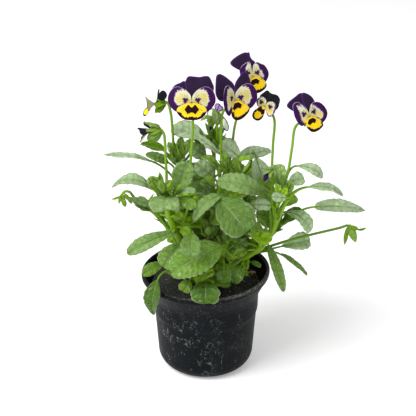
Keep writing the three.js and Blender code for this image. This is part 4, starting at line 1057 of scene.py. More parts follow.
# A leaf as its blade and its stalk, which runs on under the blade as the midrib.
def leafParts(path, leaf, draw):
    base, tip = spotOf(leaf["base"]), spotOf(leaf["tip"])
    length = (tip - base).length
    own = {key: draw.uniform(*ends) for key, ends in leafRanges.items()}
    own["teeth"] = max(3, round(length / mm / leafForm["toothLength"]))
    own.update({key: leaf[key] for key in plainBlade if key in leaf})
    own["arch"] *= mm
    own["curl"] *= mm
    face = facing(leaf["tilt"], leaf.get("turn", 0))
    made = blade(base, tip, face, width=leaf["width"] * mm, **own)
    arch, along, lift = [made[key] for key in ("arch", "axisAlong", "axisLift")]
    root = pathPoint(path, leaf["at"])
    reach = (base - root).length
    rise = leafForm["stalkRise"]
    leaving = root.lerp(base, rise) + pathDirection(path, leaf["at"]) * (rise * reach)
    landing = (along + lift * (4 * arch / length)).normalized()
    arriving = base - landing * (leafForm["stalkArrival"] * reach)
    curve = geometry.interpolate_bezier(root, leaving, arriving, base, leafForm["stalkSamples"])
    foot = leafForm["stalk"] * leafForm["stalkFoot"] * leaf.get("thick", 1)
    thick = list(np.linspace(foot, leafForm["stalk"], len(curve)) * mm)
    for w in np.linspace(*leafForm["rib"], leafForm["ribSamples"]):
        bow = arch * 4 * w * (1 - w) - made["curl"] * max(w - leafForm["curlFrom"], 0) ** 2
        curve.append(base + along * (w * length) + lift * (bow - leafForm["ribDepth"]))
        thick.append(leafForm["stalk"] * (1 - w) * leafForm["ribThick"] * mm)
    least, more = leafForm["stalkLime"]
    lime = leaf.get("fresh", least + more * made["lime"])
    return made, dict(points=curve, thick=thick, shade=made["shade"], lime=lime)


# The lobes of a stipule, each with its length, its lean outwards and its width. It heads out, up
# and aside by shares. Stalks longer than "near" have small ones.
stipule = {
    "size": 12, "smallSize": 6, "near": 6, "heading": (0.45, 0.65, 0.55), "spread": 0.5,
    "lobes": ((1, 0, 0.3), (0.62, 0.55, 0.15), (0.7, -0.4, 0.15), (0.45, 1.1, 0.13)),
}


# A stipule is a leafy flap with a few narrow lobes at its foot.
def stipuleBlades(path, leaf, draw, size):
    root = pathPoint(path, leaf["at"])
    rising = pathDirection(path, leaf["at"])
    outward = (spotOf(leaf["base"]) - root).normalized()
    sideways = rising.cross(outward).normalized()
    out, up, aside = stipule["heading"]
    blades = []
    for side in (-1, 1):
        heading = (outward * out + rising * up + sideways * (aside * side)).normalized()
        spread = sideways * (stipule["spread"] * side)
        for share, lean, width in stipule["lobes"]:
            direction = (heading + spread * lean + outward * (0.3 * lean)).normalized()
            face = rising * 0.8 - outward * 0.4 + Vector((0, 0, 0.3))
            long = size * share * draw.uniform(0.85, 1.1) * mm
            blades.append(blade(
                root, root + direction * long, face, width=size * width * mm, arch=-0.06 * long,
                lime=draw.uniform(0.45, 0.8), shade=0.45, baseTaper=0.7, tipRound=0.9))
    return blades


# The leaves of a tuft go round its top, each turned on from the one before. Their shade and lime
# are drawn high, so they are painted pale and bright, as painted light shining through them.
tuft = {
    "leaves": 10, "turn": 2.4, "lean": (0.25, 1.5), "length": (7, 17), "sunk": 7,
    "width": (0.22, 0.4), "lime": (0.55, 0.95), "shade": (0.75, 1.0),
}


# The youngest leaves, folded close round the top of a stem or of a shoot from its side.
def tuftBlades(top, rising, size, draw):
    blades = []
    for k in range(tuft["leaves"]):
        turn = k * tuft["turn"] + draw.uniform(-0.3, 0.3)
        outward = Vector((math.cos(turn), math.sin(turn), 0))
        lean = draw.uniform(*tuft["lean"])
        direction = (rising + outward * lean).normalized()
        long = draw.uniform(*tuft["length"]) * size * mm
        start = top - rising * draw.uniform(0, tuft["sunk"]) * mm
        blades.append(blade(
            start, start + direction * long, rising * lean - outward,
            width=long * draw.uniform(*tuft["width"]), arch=-0.1 * long, cup=0.5,
            lime=draw.uniform(*tuft["lime"]), shade=draw.uniform(*tuft["shade"]),
            baseTaper=0.6, tipRound=0.9))
    return blades


# A bloom hangs by its throat on a stalk from its stem, turned to the right, nodding up or down and
# rolled over. Fold is how far its petals lean forward. A petal may have an outline, layer and
# fold of its own, lean its markings over, shrink them by marks, and swing forward about the
# middle of the bloom. Inky petals are darker with a narrow margin, a bare lip has its dark
# margin at its far end alone, and faded backs are pale. A sepal runs from its base to its tip,
# with its width, arch, tilt and shade, which, as a leaf's, is partly painted shade and light.
blooms = {
    "front_left": dict(
        stem="left_front", start=0.55, stalk=[(188, 205, -24), (190, 170, -22), (193, 126, -19)],
        throat=(191.7, 102.4, -33), turn=0, nod=14, roll=0, size=0.94, fold=0,
        petals=dict(
            leftUpper=dict(outline=[
                (-86, 4), (-76, 16), (-64, 20.4), (-54, 21.4), (-42, 21.1), (-31, 20), (-20, 20),
                (-10, 16), (-2, 5)]),
            rightUpper=dict(outline=[
                (-28, 4), (-21, 17), (-15, 20.3), (-8, 23.1), (4, 22.9), (17, 23.3), (27, 26),
                (33, 27.4), (38, 27), (46, 25.4), (56, 24), (68, 20), (80, 6)]),
        ),
    ),
    "front_right": dict(
        stem="centre", start=0.75, stalk=[(221, 165, -6), (221, 135, -2), (223, 112, 2)],
        throat=(234.8, 100, -11), turn=14, nod=14, roll=2, size=0.98, fold=0, bare=1,
        petals=dict(
            leftUpper=dict(outline=[
                (-100, 5), (-92, 13), (-78, 16), (-60, 19), (-41, 23.8), (-34, 26), (-28, 26),
                (-22, 23.5), (-12, 18.3), (2, 13), (10, 4)]),
            rightUpper=dict(outline=[
                (-4, 4), (5, 14.5), (15, 21.2), (19, 24.6), (24, 26.1), (30, 26.1), (37, 24.6),
                (46, 22), (61, 19), (75, 13), (84, 4)]),
            leftSide=dict(swing=46, outline=[
                (-155, 6), (-146, 16), (-135, 17.5), (-120, 18.5), (-104, 19), (-88, 19.5), (-70, 20),
                (-54, 20), (-41, 18), (-27, 12.8), (-10, 6.8), (-1, 1.5)]),
            lip=dict(lean=-16, marks=0.82, outline=[
                (100, 3), (108, 9), (118, 14.5), (126, 16.8), (142, 17.3), (159, 18.2), (173, 18.4),
                (183, 17), (192, 14.5), (199, 10), (208, 5), (215, 2)]),
        ),
    ),
    "top": dict(
        stem="centre", start=0.98, stalk=[(231, 155, 2), (235, 125, 16), (243, 100, 28)],
        throat=(252.7, 76.6, 24), turn=10, nod=14, roll=-18, size=0.92, fold=0, bare=1,
        petals=dict(
            leftUpper=dict(layer=-0.9, outline=[
                (-49, 4), (-44, 15), (-42, 22.5), (-38, 25), (-30, 25), (-20, 24.6), (-10, 24.4),
                (0, 24.2), (7, 23.4), (11, 17), (15, 6)]),
            rightUpper=dict(outline=[
                (-15, 4), (-11, 14), (-6, 19), (3, 22.5), (13, 23.3), (15, 19), (20, 16.2), (32, 14),
                (41, 10), (47, 4)]),
            rightSide=dict(outline=[
                (8, 3), (25, 11.4), (38, 14.6), (52, 14.8), (68, 16), (87, 16.3), (103, 16.3),
                (121, 15.1), (139, 13), (150, 4)]),
            leftSide=dict(lean=36, outline=[
                (-130, 3), (-118, 9), (-100, 11), (-80, 11.5), (-61, 12.4), (-41, 14.3), (-24, 14.6),
                (-8, 14.7), (8, 14.4), (12, 4)]),
            lip=dict(marks=0.82, outline=[
                (118, 4), (126, 11), (135, 15), (147, 17), (162, 17.2), (180, 17), (198, 15.5),
                (215, 12), (228, 8), (240, 3)]),
        ),
    ),
    "small": dict(
        stem="right", start=0.8, stalk=[(272, 175, -8), (273, 145, 2), (274, 118, 8)],
        throat=(265, 106, 0), turn=-20, nod=8, roll=22, size=0.8, fold=0, inky=0.9,
        petals=dict(
            leftUpper=dict(outline=[
                (-76, 4), (-63, 12), (-50, 13.3), (-38, 14.2), (-22, 16.6), (-10, 15), (-4, 5)]),
            rightUpper=dict(outline=[
                (-14, 5), (-8, 15.5), (-2, 15.2), (20, 17.5), (40, 17.7), (50, 16.4), (79, 13.3),
                (88, 11), (96, 4)]),
            rightSide=dict(outline=[
                (1, 2), (15, 6), (35, 10), (55, 12), (80, 12.5), (105, 13), (122, 13.5), (138, 12),
                (150, 4)]),
            leftSide=dict(outline=[
                (-140, 3), (-125, 8), (-100, 10.5), (-75, 11.5), (-50, 11), (-30, 9), (-12, 6),
                (-1, 2)]),
            lip=dict(lean=14, marks=0.95, outline=[
                (148, 3), (158, 9), (169, 15), (180, 19), (191, 20.5), (202, 20), (212, 17), (222, 12),
                (232, 6), (242, 3)]),
        ),
    ),
    "right": dict(
        stem="right", start=0.99, stalk=[(288, 172, -14), (292, 148, -4), (296, 126, 8)],
        throat=(309.5, 116, -2), turn=14, nod=12, roll=-20, size=0.9, fold=0, bare=1,
        petals=dict(
            leftUpper=dict(outline=[
                (-56, 6), (-49, 18), (-43, 23.5), (-32, 24), (-14, 23), (2, 23.4), (10, 22), (18, 12),
                (22, 4)]),
            rightUpper=dict(outline=[
                (-4, 5), (0, 18), (8, 23.2), (20, 21.2), (33, 18.5), (44, 15.7), (56, 12), (64, 4)]),
            rightSide=dict(outline=[
                (10, 3), (31, 11.3), (46, 14.7), (60, 16.5), (77, 17.6), (97, 19), (113, 19),
                (132, 17.2), (145, 14.8), (156, 5)]),
            leftSide=dict(lean=22, outline=[
                (-135, 4), (-122, 12), (-100, 13), (-70, 14.5), (-45, 17.6), (-34, 19.7), (-25, 19.5),
                (-17, 17.8), (-11, 14.3), (-2, 8), (8, 3)]),
            lip=dict(marks=0.82, outline=[
                (122, 4), (132, 11), (140, 15.5), (146, 17.8), (167, 17.6), (185, 17), (196, 15.4),
                (218, 11), (230, 8), (240, 3)]),
        ),
    ),
    "side": dict(
        stem="back_left", start=0.9,
        stalk=[(174, 150, 20), (172.5, 130, 14), (170.5, 112, 11), (167, 102.5, 11)],
        throat=(154.5, 104, 10), turn=-64, nod=4, roll=0, size=0.6, fold=0.9, inky=0.8,
        petals=dict(
            leftUpper=dict(fold=0.1, swing=-34, outline=[
                (-62, 5), (-50, 14), (-38, 19), (-24, 22), (-12, 20.5), (-4, 15), (0, 6)]),
            rightUpper=dict(fold=-0.1, swing=-40, outline=[
                (0, 6), (6, 16), (16, 22.5), (28, 23.5), (42, 21), (54, 15), (66, 5)]),
            rightSide=dict(fold=1.5, outline=[
                (-20, 3), (-10, 15), (8, 24), (30, 28), (60, 29), (92, 27), (120, 22), (140, 14),
                (156, 4)]),
            leftSide=dict(fold=1.3, outline=[
                (-140, 3), (-124, 9), (-98, 12), (-70, 13), (-44, 13), (-22, 11), (-8, 4)]),
            lip=dict(fold=1.05, outline=[
                (134, 5), (144, 15), (156, 21), (170, 24), (184, 24.6), (198, 24), (210, 21), (220, 14),
                (228, 5)]),
        ),
        sepals=[
            ((166.5, 102, 11), (155, 113, 7), 6, 1), ((166, 101.5, 11), (156.5, 100, 10), 4, 1),
            ((165.5, 103, 10), (155, 107, 6), 5.5, 1), ((166.5, 103, 12), (158.5, 113, 12), 5, 1),
        ],
    ),
    "nodding": dict(
        stem="left_front", start=0.97,
        stalk=[
            (166.5, 180, -28), (165.8, 160, -26), (165, 143, -24), (163.5, 133, -24), (159.5, 129, -24)],
        throat=(148.5, 131.5, -24), turn=-58, nod=-10, roll=0, size=0.62, fold=1.2, inky=0.8,
        petals=dict(
            leftUpper=dict(fold=0.6, outline=[
                (-80, 5), (-64, 14), (-44, 17), (-24, 17), (-8, 14), (2, 6)]),
            rightUpper=dict(fold=2.4, outline=[
                (-20, 8), (0, 26), (24, 30), (46, 30), (72, 26), (96, 8)]),
            rightSide=dict(fold=2.2, outline=[
                (76, 6), (92, 22), (106, 27), (122, 27), (138, 20), (152, 5)]),
            leftSide=dict(fold=1.5, outline=[(-140, 4), (-120, 12), (-90, 14), (-60, 12), (-40, 4)]),
            lip=dict(fold=2.2, outline=[
                (120, 4), (136, 10), (160, 13), (184, 14), (206, 12), (224, 5)]),
        ),
        sepals=[
            ((162, 130, -24), (147, 140, -27), 7, 2, 50, 0.8), ((162, 129, -24),
            (149, 134, -28), 7, 2, 50, 0.55),
            ((160, 128, -25), (143.5, 122.5, -26), 3.4, 1, 40, 0.9),
            ((160, 129.5, -25), (141.5, 132, -29), 3.6, 1, 40, 0.9),
            ((162, 131, -23), (154, 142, -24), 6, 1, 50, 0.7), ((161, 128, -22),
            (150, 128, -22), 6, 2, 30, 0.5),
        ],
    ),
    "away": dict(
        stem="back_centre", start=0.95, stalk=[(218, 150, 16), (217.5, 135, 6), (217, 127, 3)],
        throat=(217.5, 112, 14), turn=158, nod=-14, roll=-10, size=0.44, fold=0.5, faded=1,
        petals=dict(
            leftUpper=dict(outline=[(-70, 4), (-56, 14), (-40, 17), (-20, 17.5), (0, 15), (12, 4)]),
            rightUpper=dict(outline=[(-26, 4), (-10, 16), (8, 19), (28, 19), (46, 15), (60, 4)]),
            leftSide=dict(fold=-0.1, outline=[
                (-146, 6), (-139, 30), (-132, 42), (-125, 46), (-117, 40), (-109, 27), (-100, 6)]),
            rightSide=dict(fold=0.4, outline=[
                (60, 4), (80, 16), (100, 24), (118, 28), (132, 27), (144, 20), (152, 6)]),
        ),
        sepals=[
            ((213, 142, 18), (205, 122, 12), 4, 1, 50, 0.9), ((213, 142, 18),
            (209, 120, 8), 3.4, 1, 50, 0.7),
            ((211, 142, 10), (200, 137, 4), 3.4, 1, 30, 1.2), ((217, 142, 12),
            (220, 126, 8), 4, 1, 50, 1),
            ((217, 125, 2), (213.5, 108, 0), 6.5, 2, 50, 1.35), ((217, 125, 2),
            (219, 110, 2), 5, 1, 50, 1.2),
            ((216, 122, 0), (204, 116, -2), 4.6, 1, 40, 1.2), ((218, 125, 2),
            (223, 116, 4), 4, 2, 50, 1.3),
            ((212, 117, -2), (200, 121, -4), 3.4, 1.5, 30, 1.35),
        ],
    ),
}

buds = {
    "violet": dict(
        stem="right", start=0.75, finish="violet",
        stalk=[(272, 200, -22), (272.5, 186, -29), (274, 171, -32), (272, 168.5, -33)],
        throat=(268, 173, -34), turn=-50, nod=-56, roll=0, size=0.36, fold=1.5, long=8, thick=5,
        sepals=[
            ((273, 168, -34), (263, 174.5, -39), 3.6, 1, 40, 1.5),
            ((273, 168.5, -34), (269, 178, -40), 3.2, 1, 40, 1.4),
            ((273.5, 168, -34), (265.5, 169, -37), 2.8, 1, 40, 1.5),
            ((273, 169, -34), (276, 176, -37), 2.6, 1, 40, 1.3),
        ],
    ),
    "dark": dict(
        stem="back_centre", start=0.97, stalk=[(213, 140, 18), (212, 126, 12),
        (211, 119, 8)], finish="violet",
        throat=(211.5, 124, 8), turn=-30, nod=-60, roll=0, size=0.3, fold=1.5, long=6, thick=3.6,
        sepals=[
            ((211, 119, 8), (209.5, 127, 6), 4, 1, 60, 0.5), ((211, 119, 8),
            (213, 127, 6), 4, 1, 60, 0.6),
            ((211, 119, 8), (207, 122, 6), 3.5, 1, 60, 0.5),
        ],
    ),
    "withered": dict(
        stem="far_left", start=0.99, finish="straw",
        stalk=[(138, 202, -10), (133, 196, -11), (129.5, 192, -13), (125, 191.5, -14), (122, 195, -14)],
        throat=(123.5, 199, -14), turn=-20, nod=-80, roll=0, size=0.34, fold=1.2, long=5, thick=3.6,
        sepals=[
            ((122, 196, -14), (111.5, 199.5, -14), 2.4, -1.2, 50, 0.3),
            ((122, 196, -14), (125.5, 207, -16), 4.4, 1, 60, 0.3),
            ((124, 193, -14), (132, 204, -15), 3.4, 3, 50, 0.5),
            ((121, 194, -14), (119, 204, -15), 2.6, 1, 60, 0.2),
        ],
    ),
    "capsule": dict(
        stem="right_low", start=0.5, finish="green", lime=0.25,
        stalk=[(290, 240, -16), (318, 233, -12), (341, 227.5, -8), (347, 225.5, -8)],
        throat=(350.5, 228, -8), turn=50, nod=-62, roll=0, size=0.5, fold=1.0, long=14, thick=7.4,
        sepals=[
            ((348, 226.5, -9), (344.5, 245, -12), 4.2, -2, 55, 0.2),
            ((349, 226.5, -8), (358.5, 229.5, -10), 4.2, 1, 60, 0.3),
            ((356.5, 229.5, -9), (366.5, 227.5, -10), 2.4, -2.8, 40, 0.1),
            ((349, 227, -6), (354, 236, -2), 4, 0.6, 60, 0.3),
        ],
    ),
}

flowerForm = {
    "rows": 20, "columns": 45, "thickness": 0.3 * mm, "fade": 0.6, "rowSpread": 0.85,
    "ruffles": (6, 9), "layer": 1.2, "curl": 0.006, "stalk": 1.2, "stalkSamples": 60,
    "sepalLayer": -3.6, "sepal": 10.8, "sepalWidth": 4.2, "sepalTurn": 6, "ear": (4.2, -0.9, 2.6),
    "hook": [(-5, -10), (1.5, -9), (1, -5), (0, -2)],
    "inner": {"upper": 2.6, "side": 0.6, "lip": 0.6},
    "calyx": [(-4.4, 1.0), (-3.2, 1.2), (-2.0, 2.0), (-0.9, 2.5), (0, 2.2)],
    "knob": [(-3.4, 1.1), (-2.2, 1.7), (-1.0, 1.9), (0.4, 1.2)],
}

# The outline of a petal, in millimetres of a full-sized bloom, as headings from the top of the
# bloom and how far from its throat it reaches there. Layer says how far forward it lies.
leftSideOutline = [
    (-148, 3), (-136, 11), (-120, 16.6), (-104, 19.2), (-88, 21.4), (-70, 21.8), (-54, 21),
    (-41, 18.4), (-27, 12.8), (-10, 6.8), (-1, 1.5),
]
petalForms = {
    "leftUpper": dict(kind="upper", layer=-2, wave=0.5, outline=[
        (-86, 4), (-76, 16), (-64, 20.4), (-54, 21.6), (-42, 21.8), (-31, 21), (-20, 20.4), (-10, 16),
        (-2, 5)]),
    "rightUpper": dict(kind="upper", layer=-1.2, wave=0.6, outline=[
        (-26, 4), (-19, 16), (-12, 20.5), (0, 23), (16, 24), (32, 24), (46, 23), (58, 21), (70, 17),
        (80, 5)]),
    "leftSide": dict(kind="side", layer=0, wave=0.3, outline=leftSideOutline),
    "lip": dict(kind="lip", layer=0.7, wave=0.3, outline=[
        (100, 3), (105, 9), (111, 13.5), (120, 15.6), (132, 16.4), (150, 16.8), (166, 16.4), (180, 16),
        (194, 16.4), (210, 16.8), (228, 16.4), (240, 15.6), (249, 13.5), (255, 9), (260, 3)]),
    "rightSide": dict(kind="side", layer=0, wave=0.3, outline=[
        (-heading, reach) for heading, reach in reversed(leftSideOutline)]),
}


# The frame of a bloom: X to its right, Y to its top, Z out of its face, in millimetres of its size.
def bloomFrame(bloom):
    yaw, lift, lean = [math.radians(bloom[key]) for key in ("turn", "nod", "roll")]
    out = Vector((math.sin(yaw) * math.cos(lift), -math.cos(yaw) * math.cos(lift), math.sin(lift)))
    up = (Vector((0, 0, 1)) - out * out.z).normalized()
    up.rotate(Matrix.Rotation(-lean, 3, out))
    turn = Matrix((up.cross(out), up, out)).transposed().to_4x4()
    return Matrix.Translation(place(bloom["throat"])) @ turn @ Matrix.Scale(bloom["size"] * mm, 4)


# How far forward a layer of petals or sepals lies in its bloom.
def layerDepth(layer, bloom):
    return layer * flowerForm["layer"] * math.hypot(1, bloom["fold"]) / bloom["size"]


# The petals of some kinds, each a sheet that follows the dish of the bloom out to its outline.
def petalPiece(name, bloom, kinds, tree):
    frame = bloomFrame(bloom)
    draw = random.Random(name)
    points, faces = [], []
    tones = ("inky", "bare", "faded")
    values = {"spot": [], "edge": [], "kind": [], **{tone: [] for tone in tones}}
    for key, form in petalForms.items():
        own = {**form, **bloom["petals"].get(key, {})}
        if own["kind"] not in kinds:
            continue
        rows, columns = flowerForm["rows"], flowerForm["columns"]
        flat = [(reach * math.sin(math.radians(heading)), reach * math.cos(math.radians(heading)), 0)
                for heading, reach in own["outline"]]
        rim = smoothPath(flat, columns)[:, :2]
        inner = flowerForm["inner"][own["kind"]]
        ruffles, phase = draw.uniform(*flowerForm["ruffles"]), draw.uniform(0, 6.3)
        lean = math.radians(own.get("lean", 0))
        leaned = np.array([(math.cos(lean), -math.sin(lean)), (math.sin(lean), math.cos(lean))])
        first = len(points)
        for x, y in rim:
            reach = math.hypot(x, y)
            away = np.array([x, y]) / reach
            heading = math.atan2(x, y)
            for row in range(rows + 1):
                share = (row / rows) ** flowerForm["rowSpread"]
                radius = inner + max(reach - inner, 0.05) * share
                spot = away * radius
                edge = np.min(np.hypot(*(rim - spot).T)) if row < rows else 0.0
                ruffle = own["wave"] * math.sin(heading * ruffles + phase) * share ** 3
                points.append(frame @ petalPoint(bloom, own, spot, radius - inner, ruffle))
                values["spot"].append((*(leaned @ spot / own.get("marks", 1)), edge))
                values["edge"].append(edge)
                values["kind"].append(kinds.index(own["kind"]))
                for tone in tones:
                    values[tone].append(bloom.get(tone, 0))
        for column in range(columns - 1):
            for row in range(rows):
                low = first + column * (rows + 1) + row
                faces.append((low, low + rows + 1, low + rows + 2, low + 1))
    return grown(name, markedMesh(name, points, [], values, faces), tree)


# Where a spot of a petal lies in its bloom, once it is dished, folded and swung forward. Out is
# how far it lies past the inner end of the petal.
def petalPoint(bloom, own, spot, out, ruffle):
    fold = own.get("fold", bloom["fold"])
    shrink = 1 / math.hypot(1, fold)
    radius = math.hypot(*spot)
    flat = spot * ((radius - out + out * shrink) / radius)
    rise = (fold * shrink - flowerForm["curl"] * out) * out + layerDepth(own["layer"], bloom) + ruffle
    swing = math.radians(own.get("swing", 0))
    forward = abs(flat[0]) * math.sin(swing)
    return Vector((flat[0] * math.cos(swing), flat[1], rise * math.cos(swing) + forward))


# The stalk of a bloom or bud, which hooks over into the back of its calyx.
def flowerStalk(path, bloom):
    frame = bloomFrame(bloom)
    star = layerDepth(flowerForm["sepalLayer"], bloom)
    hook = [frame @ Vector((0, up, star + out)) for up, out in flowerForm["hook"]]
    if "sepals" in bloom:
        hook = [frame @ Vector((0, 0, -1.5 / bloom["size"]))]
    points = [pathPoint(path, bloom["start"]), *[place(spot) for spot in bloom["stalk"]], *hook]
    way = smoothPath(points, flowerForm["stalkSamples"])
    swell = 1 + 0.25 * np.exp(-np.linspace(0, 5, len(way)) ** 2)
    thick = swell * flowerForm["stalk"] * mm
    return dict(points=[Vector(point) for point in way], thick=thick, lime=bloom.get("lime", 0.75))


# The sepals of a bud or of a bloom seen from the side, each placed by its base and its tip.
def bareSepals(bloom, draw):
    blades = []
    for base, tip, width, arch, *tones in bloom["sepals"]:
        tilt, shade = tones or (40, 0.45)
        blades.append(blade(
            place(base), place(tip), facing(tilt), width=width * mm, arch=arch * mm, cup=0.25,
            lime=draw.uniform(0.45, 0.7), shade=shade, baseTaper=0.5, tipRound=0.8))
    knob = [(height / bloom["size"], radius) for height, radius in flowerForm["knob"]]
    return blades, heartOf(bloomFrame(bloom), knob, 1)


# The knob behind the petals, from the heights and radii of its rings.
def heartOf(frame, knob, size):
    return dict(
        points=[frame @ Vector((0, 0, height)) for height, radius in knob],
        thick=[radius * size * mm for height, radius in knob], lime=0.55)


# The calyx: a knob behind the petals and five sepals with their ears.
def calyxParts(bloom, draw):
    if "sepals" in bloom:
        return bareSepals(bloom, draw)
    frame = bloomFrame(bloom)
    turn = frame.to_3x3().normalized()
    size = bloom["size"]
    star = layerDepth(flowerForm["sepalLayer"], bloom)
    shrink = 1 / math.hypot(1, bloom["fold"])
    knob = [(star + height, radius) for height, radius in flowerForm["calyx"]]
    knob += [(star + 0.8, 1.8 * shrink), (-0.9 / size, 1.2 * shrink), (-0.5 / size, 0.5 * shrink)]
    sepal = (flowerForm["sepal"], bloom["fold"], flowerForm["sepalWidth"])
    blades = []
    for k in range(5):
        heading = math.radians(72 * k + draw.uniform(-flowerForm["sepalTurn"], flowerForm["sepalTurn"]))
        outwards = Vector((math.sin(heading), math.cos(heading), 0))
        for reach, rise, width in (sepal, flowerForm["ear"]):
            direction = (outwards + Vector((0, 0, rise))).normalized()
            start = frame @ (outwards + Vector((0, 0, star - 0.4)))
            end = start + turn @ direction * (reach * size * mm)
            face = turn @ (Vector((0, 0, 1)) - outwards * rise)
            blades.append(blade(
                start, end, face, width=width * size * mm, arch=0.6 * size * mm, lime=0.5,
                shade=draw.uniform(0.2, 0.6), baseTaper=0.45, tipRound=1.0))
    return blades, heartOf(frame, knob, size)


# A bud's body swells along part of a sine, skewed towards its base.
budForm = {
    "rings": 22, "span": 0.93, "start": 0.05, "skew": 0.8, "blunt": 0.75, "girth": 0.49,
    "least": 0.15, "sides": 24,
}


# The body of a bud or seed capsule, pointed and a little ribbed.
def budPiece(name, bud, tree):
    frame = bloomFrame(bud)
    row = dict(points=[], thick=[])
    for share in np.linspace(0, 1, budForm["rings"]):
        turn = math.pi * min(share * budForm["span"] + budForm["start"], 1) ** budForm["skew"]
        swell = math.sin(turn) ** budForm["blunt"]
        row["points"].append(frame @ Vector((0, 0, share * bud["long"] / bud["size"])))
        row["thick"].append(max(bud["thick"] * budForm["girth"] * swell, budForm["least"]) * mm)
    return stalkPiece(name, [row], tree, {"Sides": budForm["sides"]})


inside = {
    "leaves": 26, "tries": 340, "at": (0.1, 0.85), "stalk": (4, 18), "length": (13, 27),
    "heights": (94, 172), "radius": 44,
}


# Leaves made up by the script, for the shaded inside of the plant.
def innerLeaves(path, name):
    draw = random.Random(f"inner {name}")
    leaves = []
    for _ in range(inside["tries"]):
        if len(leaves) == inside["leaves"]:
            break
        at = draw.uniform(*inside["at"])
        turn = draw.uniform(0, 2 * math.pi)
        root = pathPoint(path, at)
        outward = Vector((math.cos(turn), math.sin(turn), draw.uniform(0.0, 0.7))).normalized()
        base = root + outward * draw.uniform(*inside["stalk"]) * mm
        long = draw.uniform(*inside["length"]) * mm
        outward.z = draw.uniform(-0.5, 0.5)
        tip = base + outward.normalized() * long
        if isInside(tip) and isInside(base.lerp(tip, 0.5)):
            leaves.append(leafRow(
                at, base, tip, long / mm * draw.uniform(0.42, 0.62), draw.uniform(0.5, 4),
                draw.uniform(20, 60), draw.uniform(0.1, 0.35), draw.uniform(0.4, 1.0),
                turn=math.degrees(math.sin(turn)) * 0.3, isShaded=True))
    return leaves


def isInside(point):
    low, high = inside["heights"]
    spread = inside["radius"] * mm
    return low * mm < point.z < high * mm and math.hypot(point.x, point.y) < spread


def makeStem(name, stem):
    path = stemPath(stem)
    draw = random.Random(name)
    shares = np.linspace(0, 1, len(path))
    ends = [stemForm["radius"], stemForm["tipRadius"]]
    thick = np.interp(shares, [0, 1], ends) * stem.get("girth", 1)
    leaves, shaded, stalks, small = [], [], [], []
    for leaf in stem["leaves"] + innerLeaves(path, name):
        isShaded = leaf.get("isShaded")
        made, stalk = leafParts(path, leaf, draw)
        (shaded if isShaded else leaves).append(made)
        stalks.append(stalk)
        thick += stemForm["knot"] * np.exp(-((shares - leaf["at"]) * stemForm["knotSpread"]) ** 2)
        reach = (spotOf(leaf["base"]) - pathPoint(path, leaf["at"])).length
        if leaf.get("stipules"):
            small += stipuleBlades(path, leaf, draw, stipule["size"])
        elif not isShaded and reach > stipule["near"] * mm:
            small += stipuleBlades(path, leaf, draw, stipule["smallSize"])
    small += tuftBlades(Vector(path[-1]), pathDirection(path, 1), 1, draw)
    for at, spot, size in stem.get("shoots", []):
        root, top = pathPoint(path, at), place(spot)
        shoot = [radius * mm for radius in stemForm["shoot"]]
        points = [root, root.lerp(top, 0.5), top]
        stalks.append(dict(points=points, thick=shoot, lime=stemForm["shootLime"]))
        small += tuftBlades(top, Vector((0, -0.2, 1)).normalized(), size, draw)
    points = [Vector(point) for point in path]
    stalks.append(dict(points=points, thick=thick * mm, lime=stemForm["lime"]))
    for bloom in [*blooms.values(), *buds.values()]:
        if bloom["stem"] == name:
            stalks.append(flowerStalk(path, bloom))
            blades, heart = calyxParts(bloom, draw)
            small += blades
            stalks.append(heart)
    parts = [
        bladePiece(f"{kind}_{name}", blades, shapes["blades"], sizes)
        for kind, blades, sizes in (
            ("leaves", leaves, None), ("shaded", shaded, shadedForm), ("small", small, smallForm))
        if blades]
    finished(joinedPiece(f"foliage_{name}", parts), f"stem_{name}")
    finished(stalkPiece(f"stalks_{name}", stalks, shapes["stalks"]), f"stem_{name}")


def makeBloom(name, bloom):
    upper = petalPiece(f"petals_{name}_upper", bloom, ["upper"], shapes["upperPetals"])
    finished(upper, f"bloom_{name}_upper")
    face = petalPiece(f"petals_{name}_face", bloom, ["side", "lip"], shapes["facePetals"])
    finished(face, f"bloom_{name}_face")


def makeBud(name, bud):
    piece = budPiece(f"budBody_{name}", bud, shapes[bud["finish"]])
    finished(piece, f"bud_{name}")


# Radii and heights of the pot's wall, from its foot up.
pot = {
    "height": 97, "footRadius": 33, "cornerRadius": 45.2, "cornerHeight": 14,
    "cornerAngles": range(0, 91, 6), "wall": 1.5,
    "step": [(47.9, 53.5), (49.2, 58.5)],
    "neck": [(49.6, 72), (51.2, 77.5), (54.2, 83), (57.5, 89)],
    "lip": [(60, 92), (60, 95.5), (58.4, 97), (56.6, 96)],
    "warp": 0.035, "sides": 144, "rounding": 1.6, "dent": 0.35, "dentScale": 22, "dentFree": 20,
    "drainHoles": 6, "drainRadius": 4, "drainCircle": 22, "drainSides": 28, "drainDepth": 8,
}


# A closed mesh turned about the Z axis. The profile is radius and height in millimetres.
def turned(name, profile, sides):
    shape = bmesh.new()
    rings = []
    for radius, height in profile:
        if radius == 0:
            rings.append([shape.verts.new((0, 0, height * mm))] * sides)
            continue
        angles = [2 * math.pi * k / sides for k in range(sides)]
        rings.append([
            shape.verts.new((radius * mm * math.cos(angle), radius * mm * math.sin(angle), height * mm))
            for angle in angles])
    for low, high in zip(rings, rings[1:]):
        for k in range(sides):
            corners = [low[k], low[(k + 1) % sides], high[(k + 1) % sides], high[k]]
            face = shape.faces.new(list(dict.fromkeys(corners)))
            face.smooth = True
    bmesh.ops.recalc_face_normals(shape, faces=shape.faces)
    return linked(name, meshOf(shape, name))


